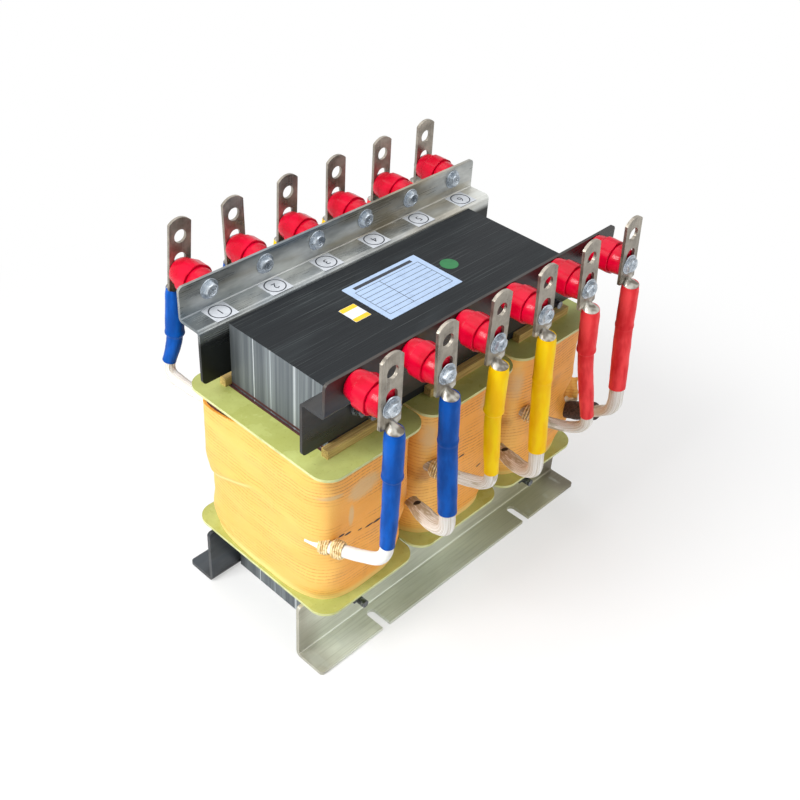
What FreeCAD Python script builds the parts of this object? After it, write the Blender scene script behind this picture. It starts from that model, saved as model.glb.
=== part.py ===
"""Three-phase starting reactor: gapped laminated core, three tapped coils, terminal brackets.

Millimetres, +Z up. The row of coils runs along X, the leads that hang lowest face -Y, and the
origin is at floor level under the middle of the core.
"""
import FreeCAD, Part
import math
import os
from FreeCAD import Vector

# Core: one limb per phase between two yokes, with a spacer in the gap at the top of each limb
PHASES = ("left", "middle", "right")
PHASE_PITCH = 130.0
LIMB_WIDTH = 65.0
YOKE_HEIGHT = 65.0
STACK_DEPTH = 130.0
CORE_GAP = 2.75

# Base angles, one along each side of the lower yoke, with two open slots in each foot
BASE_LENGTH = 400.0
BASE_SHEET = 4.0
BASE_WEB_HEIGHT = 69.0
BASE_WEB_ABOVE_YOKE = 4.0
BASE_FOOT_WIDTH = 33.0
BASE_BEND_RADIUS = 6.0
BASE_CORNER_RADIUS = 4.0
FOOT_SLOT_WIDTH = 10.5
FOOT_SLOT_LENGTH = 26.0
FOOT_SLOT_SPACING = 223.5

# Upper brackets: folded sheet with a lower flange on the core, a shelf and a terminal flange
BRACKET_LENGTH = 390.0
BRACKET_SHEET = 3.0
BRACKET_LOWER_FLANGE = 58.0
BRACKET_SHELF_WIDTH = 26.5
BRACKET_UPPER_FLANGE = 32.5
BRACKET_STANDS_PROUD = 4.85
BRACKET_BEND_RADIUS = 4.5
BRACKET_CORNER_RADIUS = 5.0

# Coils, their formers and their end plates
FORMER_WALL = 2.5
LIMB_CLEARANCE = 1.5
COIL_HALF_WIDTH = 62.0
COIL_HALF_DEPTH = 90.0
COIL_HEIGHT = 166.0
PLATE_THICKNESS = 3.0
PLATE_WIDTH = 127.0
PLATE_DEPTH = 195.0
PLATE_CORNER_RADIUS = 19.0
STICK_LENGTH = 80.0
STICK_WIDTH = 8.0
STICK_HEIGHT = 9.0

# The coil's plan is a superellipse, with corners squarer above its waist than below it. Each
# level: share of the coil's height, and the exponent that squares the corners
COIL_LEVELS = (
    (0.00, 3.5),
    (0.15, 5.0),
    (0.27, 4.2),
    (0.39, 4.2),
    (0.57, 7.6),
    (0.78, 6.6),
    (1.00, 6.8),
)
COIL_OUTLINE_POINTS = 24

# Terminals: drum-shaped standoffs on the upper flanges, with a long tube lug on each
TERMINALS_PER_PHASE = 2
STANDOFF_LENGTH = 38.5
STANDOFF_END_RADIUS = 13.0
STANDOFF_WAIST_RADIUS = 15.0
STANDOFF_BAND_ACROSS_FLATS = 32.0
STANDOFF_BAND_RADIUS = 16.6
STANDOFF_BAND_LENGTH = 14.0
TERMINAL_DROP = 13.3
INSERT_DEPTH = 14.0

LUG_WIDTH = 24.0
LUG_THICKNESS = 3.0
LUG_CROWN_ABOVE_BOLT = 52.1
LUG_CROWN_RADIUS = 16.0
LUG_HOLE_DIAMETER = 13.0
LUG_HOLE_ABOVE_BOLT = 34.0
LUG_SLOT_WIDTH = 13.0
LUG_SLOT_LENGTH = 23.5
LUG_SLOT_ABOVE_BOLT = 6.0
LUG_RIDGE_BELOW_BOLT = 14.8
LUG_RIDGE_WIDTH = 3.0
LUG_SHOULDER_BELOW_BOLT = 18.8
LUG_FOOT_WIDTH = 14.0
BARREL_TOP_BELOW_BOLT = 20.8
BARREL_DIAMETER = 16.0
BARREL_WALL = 2.2
BARREL_LENGTH = 50.0

# Each lug is turned a little on its bolt, clockwise from the front, in degrees
FRONT_LUG_TILTS = (-1.0, -3.5, 0.0, -4.0, -6.5, -5.5)
BACK_LUG_TILTS = (5.0, -1.5, 1.5, 0.0, 0.0, 0.0)

# Fasteners
BOLT_DIAMETER = 8.0
BOLT_HEAD_ACROSS_FLATS = 13.0
BOLT_HEAD_HEIGHT = 4.2
BOLT_HOLE_CLEARANCE = 0.5
WASHER_DIAMETER = 20.0
WASHER_THICKNESS = 1.6
STUD_DIAMETER = 8.0
STUD_PROJECTION = 20.0
STUD_SPACING = 260.0
LOWER_STUD_HEIGHT = 38.0
NUT_ACROSS_FLATS = 13.0
NUT_HEIGHT = 6.5
STUD_WASHER_DIAMETER = 18.0
STUD_WASHER_THICKNESS = 1.6
STUD_HOLE_CLEARANCE = 0.5

# Leads: the first of each phase's pair is a single lead, the second a fatter double one
FIT_CLEARANCE = 0.1
LEAD_RADIUS = {"single": 6.25, "double": 7.6}
SLEEVE_WALL = 1.2
SLEEVE_COVER_WALL = 1.1
SLEEVE_TOP_MARGIN = 1.0
SLEEVE_STEP_BELOW_BARREL = 1.5
LEAD_STRAIGHT_EXIT = 12.0
ROUTE_SHARE = 0.45

# Route of each front lead, as offsets from the mouth of its lug's barrel before the lug is
# turned on its bolt, and the length of its sleeve below the barrel
FRONT_ROUTES = (
    ((-4.5, -1.5, -93.0), (-6.0, 21.0, -110.0), (-26.5, 83.0, -111.5)),
    ((-5.5, -9.5, -102.0), (-2.5, 11.0, -112.0), (12.5, 69.0, -129.0)),
    ((3.5, -6.0, -88.0), (2.0, 21.0, -99.0), (-13.5, 81.0, -98.0)),
    ((-7.5, -9.5, -112.0), (-3.0, 16.0, -123.5), (13.0, 69.0, -137.5)),
    ((5.5, -8.5, -103.5), (-3.5, 21.0, -114.0), (-23.0, 70.5, -101.5)),
    ((-9.0, -9.0, -99.0), (-0.5, 9.0, -123.0), (5.5, 55.0, -159.5)),
)
FRONT_SLEEVE_LENGTHS = (78.0, 80.5, 72.0, 83.0, 86.5, 75.5)
BACK_ROUTE = ((5.0, -13.4, -49.0), (7.0, 22.5, -58.0), (8.0, 72.5, -66.0))
BACK_SLEEVE_LENGTH = 34.0

# Worked out from the sizes above
CORE_LENGTH = PHASE_PITCH * (len(PHASES) - 1) + LIMB_WIDTH
CORE_FACE = STACK_DEPTH / 2
YOKE_BOTTOM = BASE_WEB_HEIGHT - BASE_WEB_ABOVE_YOKE - YOKE_HEIGHT
LIMB_BOTTOM = YOKE_BOTTOM + YOKE_HEIGHT
LOWER_PLATE_BOTTOM = BASE_WEB_HEIGHT
COIL_BOTTOM = LOWER_PLATE_BOTTOM + PLATE_THICKNESS
COIL_TOP = COIL_BOTTOM + COIL_HEIGHT
UPPER_PLATE_TOP = COIL_TOP + PLATE_THICKNESS
LIMB_TOP = UPPER_PLATE_TOP
LIMB_LENGTH = LIMB_TOP - LIMB_BOTTOM
UPPER_YOKE_BOTTOM = LIMB_TOP + CORE_GAP
CORE_TOP = UPPER_YOKE_BOTTOM + YOKE_HEIGHT
SHELF_TOP = CORE_TOP + BRACKET_STANDS_PROUD
BRACKET_BOTTOM = SHELF_TOP - BRACKET_LOWER_FLANGE
BRACKET_TOP = SHELF_TOP + BRACKET_UPPER_FLANGE
TERMINAL_FLANGE_FACE = CORE_FACE + BRACKET_SHEET + BRACKET_SHELF_WIDTH
TERMINAL_PITCH = PHASE_PITCH / TERMINALS_PER_PHASE
TERMINAL_HEIGHT = BRACKET_TOP - TERMINAL_DROP
LUG_FACE = TERMINAL_FLANGE_FACE + STANDOFF_LENGTH
BARREL_CENTRE = LUG_FACE + BARREL_DIAMETER / 2
BARREL_TOP = TERMINAL_HEIGHT - BARREL_TOP_BELOW_BOLT
BARREL_BOTTOM = BARREL_TOP - BARREL_LENGTH
BARREL_BORE = BARREL_DIAMETER - 2 * BARREL_WALL
UPPER_STUD_HEIGHT = UPPER_YOKE_BOTTOM + YOKE_HEIGHT / 2
FORMER_INNER_WIDTH = LIMB_WIDTH + 2 * LIMB_CLEARANCE
FORMER_INNER_DEPTH = STACK_DEPTH + 2 * LIMB_CLEARANCE
FORMER_OUTER_WIDTH = FORMER_INNER_WIDTH + 2 * FORMER_WALL
FORMER_OUTER_DEPTH = FORMER_INNER_DEPTH + 2 * FORMER_WALL

UP = Vector(0, 0, 1)
ALONG = Vector(1, 0, 0)


def phase_centre(number):
    """X of a phase's limb, counted from the left end."""
    return (number - (len(PHASES) - 1) / 2) * PHASE_PITCH


def terminal_centres():
    """X of every terminal along one side, two to a phase."""
    count = len(PHASES) * TERMINALS_PER_PHASE
    return [(number - (count - 1) / 2) * TERMINAL_PITCH for number in range(count)]


def box(width, depth, height, bottom, x=0.0, y=0.0):
    """Box centred on x and y, standing on the given level."""
    corner = Vector(x - width / 2, y - depth / 2, bottom)
    return Part.makeBox(width, depth, height, corner)


def corner_arc(before, corner, after, radius):
    """Start, middle and end of the tangent arc that rounds one corner."""
    back = (before - corner).normalize()
    onward = (after - corner).normalize()
    half = back.getAngle(onward) / 2
    bisector = (back + onward).normalize()
    centre = corner + bisector * (radius / math.sin(half))
    reach = radius / math.tan(half)
    return corner + back * reach, centre - bisector * radius, corner + onward * reach


def rounded_polygon(points, radii):
    """Closed wire through the points, each corner rounded by its own radius, or sharp at 0."""
    count = len(points)
    corners = []
    for number, radius in enumerate(radii):
        if radius > 0:
            following = points[(number + 1) % count]
            corners.append(corner_arc(points[number - 1], points[number], following, radius))
        else:
            corners.append((points[number],))
    edges = []
    for number, corner in enumerate(corners):
        if len(corner) == 3:
            edges.append(Part.Arc(*corner).toShape())
        edges.append(Part.LineSegment(corner[-1], corners[(number + 1) % count][0]).toShape())
    return Part.Wire(edges)


def hexagon_prism(across_flats, length, base, axis, corner_up=True):
    """Hexagonal bar from a base point along +Y or -Y, with a corner or a flat on top."""
    radius = across_flats / math.sqrt(3)
    first = 90 if corner_up else 60
    corners = []
    for number in range(6):
        angle = math.radians(first + 60 * number)
        corners.append(base + Vector(radius * math.cos(angle), 0, radius * math.sin(angle)))
    corners.append(corners[0])
    return Part.Face(Part.makePolygon(corners)).extrude(axis * length)


def sheet_section(points, radii, length):
    """Folded sheet: a section drawn across Y and Z, drawn out along X about the middle."""
    flat = [Vector(-length / 2, y, z) for y, z in points]
    return Part.Face(rounded_polygon(flat, radii)).extrude(ALONG * length)


def mirrored_to_back(shape):
    """The same piece on the other side of the core."""
    return shape.mirror(Vector(0, 0, 0), Vector(0, 1, 0))


def on_front_terminal(shape, number, x):
    """A terminal's piece turned with its front lug about the bolt."""
    return shape.copy().rotate(Vector(x, 0, TERMINAL_HEIGHT), Vector(0, 1, 0), FRONT_LUG_TILTS[number])


def on_back_terminal(shape, number, x):
    """A terminal's piece moved to the back and turned with its lug about the bolt."""
    piece = mirrored_to_back(shape)
    return piece.rotate(Vector(x, 0, TERMINAL_HEIGHT), Vector(0, 1, 0), BACK_LUG_TILTS[number])


def edges_at(shape, direction, places):
    """Edges that run along a direction with their middle at one of the places."""
    found = []
    for edge in shape.Edges:
        if edge.Length < 1e-6 or len(edge.Vertexes) < 2:
            continue
        run = edge.Vertexes[1].Point - edge.Vertexes[0].Point
        if run.Length < 1e-6 or abs(run.normalize().dot(direction)) < 0.999:
            continue
        middle = edge.CenterOfMass
        for place in places:
            gap = middle - place
            if (gap - direction * gap.dot(direction)).Length < 0.01:
                found.append(edge)
                break
    return found


def stud_centres(height):
    """Points on the clamp studs' axes at one level, at the middle of the stack."""
    return [Vector(side * STUD_SPACING / 2, 0, height) for side in (-1, 1)]


def bored_for_studs(shape, height):
    """Cuts the clamp studs' clearance holes through a piece."""
    radius = (STUD_DIAMETER + STUD_HOLE_CLEARANCE) / 2
    reach = CORE_FACE + BRACKET_SHEET + BASE_SHEET
    for centre in stud_centres(height):
        start = centre - Vector(0, reach, 0)
        shape = shape.cut(Part.makeCylinder(radius, 2 * reach, start, Vector(0, 1, 0)))
    return shape


def yoke(bottom, stud_height):
    """One yoke of the laminated core."""
    bar = box(CORE_LENGTH, STACK_DEPTH, YOKE_HEIGHT, bottom)
    return bored_for_studs(bar, stud_height)


def limb(x):
    """One limb of the laminated core."""
    return box(LIMB_WIDTH, STACK_DEPTH, LIMB_LENGTH, LIMB_BOTTOM, x)


def gap_spacer(x):
    """Spacer that holds the magnetic gap open between a limb and the upper yoke."""
    return box(LIMB_WIDTH, STACK_DEPTH, CORE_GAP, LIMB_TOP, x)


def former(x):
    """Square tube that the coil is wound on."""
    height = UPPER_PLATE_TOP - LOWER_PLATE_BOTTOM
    outer = box(FORMER_OUTER_WIDTH, FORMER_OUTER_DEPTH, height, LOWER_PLATE_BOTTOM, x)
    return outer.cut(box(FORMER_INNER_WIDTH, FORMER_INNER_DEPTH, height, LOWER_PLATE_BOTTOM, x))


def end_plate(x, bottom):
    """Laminate end plate with rounded corners, round the former's end."""
    plate = box(PLATE_WIDTH, PLATE_DEPTH, PLATE_THICKNESS, bottom, x)
    corners = []
    for side_x in (-1, 1):
        for side_y in (-1, 1):
            corners.append(Vector(x + side_x * PLATE_WIDTH / 2, side_y * PLATE_DEPTH / 2, bottom))
    plate = plate.makeFillet(PLATE_CORNER_RADIUS, edges_at(plate, UP, corners))
    window_width = FORMER_OUTER_WIDTH + 2 * FIT_CLEARANCE
    window_depth = FORMER_OUTER_DEPTH + 2 * FIT_CLEARANCE
    return plate.cut(box(window_width, window_depth, PLATE_THICKNESS, bottom, x))


def coil_outline(x, level, exponent):
    """Plan of the wound coil at one level, as one closed curve."""
    points = []
    for number in range(COIL_OUTLINE_POINTS):
        angle = 2 * math.pi * (number + 0.5) / COIL_OUTLINE_POINTS
        across = math.copysign(abs(math.cos(angle)) ** (2 / exponent), math.cos(angle))
        along = math.copysign(abs(math.sin(angle)) ** (2 / exponent), math.sin(angle))
        points.append(Vector(x + COIL_HALF_WIDTH * across, COIL_HALF_DEPTH * along, level))
    curve = Part.BSplineCurve()
    curve.interpolate(Points=points, PeriodicFlag=True)
    return Part.Wire(curve.toShape())


def coil(x):
    """Taped winding round the former, fuller above its waist than below it."""
    outlines = []
    for share, exponent in COIL_LEVELS:
        outlines.append(coil_outline(x, COIL_BOTTOM + share * COIL_HEIGHT, exponent))
    winding = Part.makeLoft(outlines, True)
    return winding.cut(box(FORMER_OUTER_WIDTH, FORMER_OUTER_DEPTH, COIL_HEIGHT, COIL_BOTTOM, x))


def packing_stick(x, side):
    """Square stick on an upper plate, against the face of the upper yoke."""
    y = side * (CORE_FACE + STICK_WIDTH / 2)
    return box(STICK_LENGTH, STICK_WIDTH, STICK_HEIGHT, UPPER_PLATE_TOP, x, y)


def foot_slot(x):
    """Cutter for one slot, open at the foot's front edge and round at its inner end."""
    edge = -(CORE_FACE + BASE_SHEET + BASE_FOOT_WIDTH)
    inner = edge + FOOT_SLOT_LENGTH - FOOT_SLOT_WIDTH / 2
    length = inner - edge + BASE_FOOT_WIDTH
    straight = box(FOOT_SLOT_WIDTH, length, 3 * BASE_SHEET, -BASE_SHEET, x, inner - length / 2)
    round_end = Part.makeCylinder(FOOT_SLOT_WIDTH / 2, 3 * BASE_SHEET, Vector(x, inner, -BASE_SHEET))
    return straight.fuse(round_end)


def base_angle():
    """Front base angle: a web on the lower yoke and a foot turned outwards."""
    inner = -CORE_FACE
    web = inner - BASE_SHEET
    toe = web - BASE_FOOT_WIDTH
    points = (
        (inner, 0), (toe, 0), (toe, BASE_SHEET), (web, BASE_SHEET),
        (web, BASE_WEB_HEIGHT), (inner, BASE_WEB_HEIGHT),
    )
    radii = (BASE_BEND_RADIUS, 0, 0, BASE_BEND_RADIUS - BASE_SHEET, 0, 0)
    angle = sheet_section(points, radii, BASE_LENGTH)
    ends = (-BASE_LENGTH / 2, BASE_LENGTH / 2)
    web_corners = edges_at(angle, Vector(0, 1, 0), [Vector(x, web, BASE_WEB_HEIGHT) for x in ends])
    toe_corners = edges_at(angle, UP, [Vector(x, toe, 0) for x in ends])
    angle = angle.makeFillet(BASE_CORNER_RADIUS, web_corners + toe_corners)
    for side in (-1, 1):
        angle = angle.cut(foot_slot(side * FOOT_SLOT_SPACING / 2))
    return bored_for_studs(angle, LOWER_STUD_HEIGHT)


def upper_bracket():
    """Front upper bracket: folded sheet that clamps the upper yoke and carries the standoffs."""
    inner = -CORE_FACE
    outer = inner - BRACKET_SHEET
    rim = -TERMINAL_FLANGE_FACE
    rim_inner = rim + BRACKET_SHEET
    shelf_under = SHELF_TOP - BRACKET_SHEET
    points = (
        (inner, BRACKET_BOTTOM), (outer, BRACKET_BOTTOM), (outer, shelf_under), (rim, shelf_under),
        (rim, BRACKET_TOP), (rim_inner, BRACKET_TOP), (rim_inner, SHELF_TOP), (inner, SHELF_TOP),
    )
    inside_radius = BRACKET_BEND_RADIUS - BRACKET_SHEET
    radii = (0, 0, inside_radius, BRACKET_BEND_RADIUS, 0, 0, inside_radius, BRACKET_BEND_RADIUS)
    bracket = sheet_section(points, radii, BRACKET_LENGTH)
    corners = []
    for x in (-BRACKET_LENGTH / 2, BRACKET_LENGTH / 2):
        corners.append(Vector(x, 0, BRACKET_BOTTOM))
        corners.append(Vector(x, 0, BRACKET_TOP))
    bracket = bracket.makeFillet(BRACKET_CORNER_RADIUS, edges_at(bracket, Vector(0, 1, 0), corners))
    radius = (BOLT_DIAMETER + BOLT_HOLE_CLEARANCE) / 2
    for x in terminal_centres():
        start = Vector(x, rim - BRACKET_SHEET, TERMINAL_HEIGHT)
        bracket = bracket.cut(Part.makeCylinder(radius, 3 * BRACKET_SHEET, start, Vector(0, 1, 0)))
    return bored_for_studs(bracket, UPPER_STUD_HEIGHT)


def clamp_studs():
    """Studs through both yokes, the same length front and back."""
    faces = ((UPPER_STUD_HEIGHT, CORE_FACE + BRACKET_SHEET), (LOWER_STUD_HEIGHT, CORE_FACE + BASE_SHEET))
    studs = []
    for height, face in faces:
        reach = face + STUD_PROJECTION
        for centre in stud_centres(height):
            start = centre - Vector(0, reach, 0)
            studs.append(Part.makeCylinder(STUD_DIAMETER / 2, 2 * reach, start, Vector(0, 1, 0)))
    return studs


def stud_seats():
    """Where each washer of a clamp stud bears, and the way that it faces."""
    seats = []
    faces = ((UPPER_STUD_HEIGHT, CORE_FACE + BRACKET_SHEET), (LOWER_STUD_HEIGHT, CORE_FACE + BASE_SHEET))
    for height, face in faces:
        for centre in stud_centres(height):
            for side in (-1, 1):
                seats.append((centre + Vector(0, side * face, 0), Vector(0, side, 0)))
    return seats


def ring(outer, inner, length, base, axis):
    """Flat washer or other plain ring."""
    disc = Part.makeCylinder(outer / 2, length, base, axis)
    return disc.cut(Part.makeCylinder(inner / 2, length, base, axis))


def stud_washer(base, axis):
    """Washer under a clamp stud's nut."""
    return ring(STUD_WASHER_DIAMETER, STUD_DIAMETER + STUD_HOLE_CLEARANCE, STUD_WASHER_THICKNESS, base, axis)


def stud_nut(base, axis):
    """Hexagon nut on a clamp stud."""
    start = base + axis * STUD_WASHER_THICKNESS
    nut = hexagon_prism(NUT_ACROSS_FLATS, NUT_HEIGHT, start, axis, corner_up=False)
    return nut.cut(Part.makeCylinder(STUD_DIAMETER / 2 + FIT_CLEARANCE, NUT_HEIGHT, start, axis))


def standoff(x):
    """Front standoff: two tapered ends and a hexagonal band, with a threaded insert at each end."""
    near = -TERMINAL_FLANGE_FACE
    taper = (STANDOFF_LENGTH - STANDOFF_BAND_LENGTH) / 2
    axis = Vector(0, -1, 0)
    foot = Vector(x, near, TERMINAL_HEIGHT)
    head = foot + axis * (STANDOFF_LENGTH - taper)
    body = Part.makeCone(STANDOFF_END_RADIUS, STANDOFF_WAIST_RADIUS, taper, foot, axis)
    body = body.fuse(Part.makeCone(STANDOFF_WAIST_RADIUS, STANDOFF_END_RADIUS, taper, head, axis))
    start = foot + axis * taper
    band = hexagon_prism(STANDOFF_BAND_ACROSS_FLATS, STANDOFF_BAND_LENGTH, start, axis)
    band = band.common(Part.makeCylinder(STANDOFF_BAND_RADIUS, STANDOFF_BAND_LENGTH, start, axis))
    body = body.fuse(band)
    radius = BOLT_DIAMETER / 2 + FIT_CLEARANCE
    body = body.cut(Part.makeCylinder(radius, INSERT_DEPTH, foot, axis))
    return body.cut(Part.makeCylinder(radius, INSERT_DEPTH, foot + axis * STANDOFF_LENGTH, axis * -1))


def hex_bolt(seat, axis, grip):
    """Hexagon bolt whose head bears at the seat, with its shank through the grip into an insert."""
    head = hexagon_prism(BOLT_HEAD_ACROSS_FLATS, BOLT_HEAD_HEIGHT, seat, axis)
    length = grip + INSERT_DEPTH - BOLT_HOLE_CLEARANCE
    return head.fuse(Part.makeCylinder(BOLT_DIAMETER / 2, length, seat, axis * -1))


def bolt_washer(seat, axis):
    """Washer under a hexagon bolt's head."""
    return ring(WASHER_DIAMETER, BOLT_DIAMETER + BOLT_HOLE_CLEARANCE, WASHER_THICKNESS, seat, axis)


def lug_palm(x):
    """Flattened end of a lug: crowned at the top and narrowed at the foot, down to the barrel."""
    half = LUG_WIDTH / 2
    half_foot = LUG_FOOT_WIDTH / 2
    crown = TERMINAL_HEIGHT + LUG_CROWN_ABOVE_BOLT
    upper = crown - LUG_CROWN_RADIUS + math.sqrt(LUG_CROWN_RADIUS ** 2 - half ** 2)
    lower = TERMINAL_HEIGHT - LUG_SHOULDER_BELOW_BOLT
    face = -LUG_FACE
    right_top = Vector(x + half, face, upper)
    left_top = Vector(x - half, face, upper)
    sides = Part.makePolygon([
        left_top, Vector(x - half, face, lower), Vector(x - half_foot, face, BARREL_TOP),
        Vector(x + half_foot, face, BARREL_TOP), Vector(x + half, face, lower), right_top,
    ])
    crest = Part.Arc(right_top, Vector(x, face, crown), left_top).toShape()
    outline = Part.Wire(sides.Edges + [crest])
    return Part.Face(outline).extrude(Vector(0, -LUG_THICKNESS, 0))


def lug_neck(x):
    """Pressed roof of a lug's barrel, which rises to a narrow ridge on the palm."""
    half = LUG_RIDGE_WIDTH / 2
    top = TERMINAL_HEIGHT - LUG_RIDGE_BELOW_BOLT
    back = -LUG_FACE
    front = back - LUG_THICKNESS
    ridge = Part.makePolygon([
        Vector(x - half, front, top), Vector(x + half, front, top),
        Vector(x + half, back, top), Vector(x - half, back, top), Vector(x - half, front, top),
    ])
    centre = Vector(x, -BARREL_CENTRE, BARREL_TOP)
    arcs = []
    for first in (225, 315, 405, 495):
        points = []
        for turn in (0, 45, 90):
            angle = math.radians(first + turn)
            points.append(centre + Vector(math.cos(angle), math.sin(angle), 0) * (BARREL_DIAMETER / 2))
        arcs.append(Part.Arc(*points).toShape())
    return Part.makeLoft([ridge, Part.Wire(arcs)], True, True)


def lug_slot(x):
    """Cutter for the slot that the terminal bolt passes through."""
    middle = TERMINAL_HEIGHT + LUG_SLOT_ABOVE_BOLT
    straight = LUG_SLOT_LENGTH - LUG_SLOT_WIDTH
    start = -LUG_FACE + LUG_THICKNESS
    depth = 3 * LUG_THICKNESS
    cutter = box(LUG_SLOT_WIDTH, depth, straight, middle - straight / 2, x, start - depth / 2)
    for end in (-1, 1):
        centre = Vector(x, start, middle + end * straight / 2)
        cutter = cutter.fuse(Part.makeCylinder(LUG_SLOT_WIDTH / 2, depth, centre, Vector(0, -1, 0)))
    return cutter


def lug(x):
    """Tube lug as at the front, upright: palm, neck and barrel in one piece."""
    barrel = Part.makeCylinder(BARREL_DIAMETER / 2, BARREL_LENGTH, Vector(x, -BARREL_CENTRE, BARREL_BOTTOM))
    piece = lug_palm(x).fuse([lug_neck(x), barrel])
    start = Vector(x, -LUG_FACE + LUG_THICKNESS, TERMINAL_HEIGHT + LUG_HOLE_ABOVE_BOLT)
    hole = Part.makeCylinder(LUG_HOLE_DIAMETER / 2, 3 * LUG_THICKNESS, start, Vector(0, -1, 0))
    bore_depth = BARREL_LENGTH - BARREL_WALL
    bore = Part.makeCylinder(BARREL_BORE / 2, bore_depth, Vector(x, -BARREL_CENTRE, BARREL_BOTTOM))
    return piece.cut([hole, lug_slot(x), bore]).removeSplitter()


def route_wire(points):
    """Straight runs joined by tangent arcs, each as large as its two runs allow."""
    edges = []
    start = points[0]
    for number in range(1, len(points) - 1):
        before, corner, after = points[number - 1:number + 2]
        half_turn = (math.pi - (before - corner).getAngle(after - corner)) / 2
        shorter = min((before - corner).Length, (after - corner).Length)
        radius = ROUTE_SHARE * shorter / math.tan(half_turn)
        first, middle, last = corner_arc(before, corner, after, radius)
        edges.append(Part.LineSegment(start, first).toShape())
        edges.append(Part.Arc(first, middle, last).toShape())
        start = last
    edges.append(Part.LineSegment(start, points[-1]).toShape())
    return Part.Wire(edges)


def tube_along(points, radius):
    """Round solid along a route."""
    path = route_wire(points)
    direction = points[1] - points[0]
    section = Part.Wire(Part.makeCircle(radius, points[0], direction))
    tube = path.makePipeShell([section], True, False)
    return tube, path.Length


def lead_points(x, offsets):
    """Route of a lead from the mouth of its barrel into the coil, with its lug upright."""
    mouth = Vector(x, -BARREL_CENTRE, BARREL_BOTTOM)
    points = [mouth, mouth - UP * LEAD_STRAIGHT_EXIT]
    for offset in offsets:
        points.append(mouth + Vector(*offset))
    return points


def lead(points, radius):
    """Insulated lead with its bared end in the barrel, drawn on into its coil."""
    tube, length = tube_along(points, radius)
    bare_radius = BARREL_BORE / 2 - FIT_CLEARANCE
    bare_length = BARREL_LENGTH - 2 * BARREL_WALL
    return tube.fuse(Part.makeCylinder(bare_radius, bare_length, points[0])), length


def outside_coil(piece, winding):
    """The stretch of a lead from its lug to where it enters its coil."""
    return max(piece.cut(winding).Solids, key=lambda solid: solid.BoundBox.ZMax)


def sleeve(points, radius, length):
    """Shrink sleeve over the barrel and the first stretch of its lead."""
    mouth, exit_point, turn = points[:3]
    along = (turn - exit_point).normalize()
    end = exit_point + along * (length - LEAD_STRAIGHT_EXIT)
    past_end = end + along * SLEEVE_WALL
    cover_radius = BARREL_DIAMETER / 2 + SLEEVE_COVER_WALL
    cover_bottom = mouth - UP * SLEEVE_STEP_BELOW_BARREL
    cover_length = BARREL_LENGTH + SLEEVE_STEP_BELOW_BARREL - SLEEVE_TOP_MARGIN
    outer, _ = tube_along([mouth, exit_point, end], radius + SLEEVE_WALL)
    outer = outer.fuse(Part.makeCylinder(cover_radius, cover_length, cover_bottom))
    inner, _ = tube_along([mouth, exit_point, past_end], radius + FIT_CLEARANCE)
    outer = outer.cut(inner)
    return outer.cut(Part.makeCylinder(BARREL_DIAMETER / 2 + FIT_CLEARANCE, BARREL_LENGTH, mouth))


def front_and_back(pieces):
    """The pieces as made for the front, and their mirror images at the back."""
    return pieces + [mirrored_to_back(piece) for piece in pieces]


def make_core(nodes):
    """Yokes, limbs and gap spacers."""
    nodes["lower_yoke"] = [yoke(YOKE_BOTTOM, LOWER_STUD_HEIGHT)]
    nodes["upper_yoke"] = [yoke(UPPER_YOKE_BOTTOM, UPPER_STUD_HEIGHT)]
    nodes["gap_spacers"] = []
    for number, phase in enumerate(PHASES):
        nodes[phase + "_limb"] = [limb(phase_centre(number))]
        nodes["gap_spacers"].append(gap_spacer(phase_centre(number)))


def make_coils(nodes):
    """Coils with their formers, end plates and packing sticks."""
    nodes["packing_sticks"] = []
    for number, phase in enumerate(PHASES):
        x = phase_centre(number)
        nodes[phase + "_former"] = [former(x)]
        nodes[phase + "_coil"] = [coil(x)]
        nodes[phase + "_lower_plate"] = [end_plate(x, LOWER_PLATE_BOTTOM)]
        nodes[phase + "_upper_plate"] = [end_plate(x, COIL_TOP)]
        for side in (-1, 1):
            nodes["packing_sticks"].append(packing_stick(x, side))


def make_frame(nodes):
    """Base angles, upper brackets and the studs that clamp them to the yokes."""
    nodes["front_base_angle"] = [base_angle()]
    nodes["back_base_angle"] = [mirrored_to_back(base_angle())]
    nodes["front_upper_bracket"] = [upper_bracket()]
    nodes["back_upper_bracket"] = [mirrored_to_back(upper_bracket())]
    nodes["clamp_studs"] = clamp_studs()
    nodes["clamp_washers"] = [stud_washer(seat, axis) for seat, axis in stud_seats()]
    nodes["clamp_nuts"] = [stud_nut(seat, axis) for seat, axis in stud_seats()]


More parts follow.
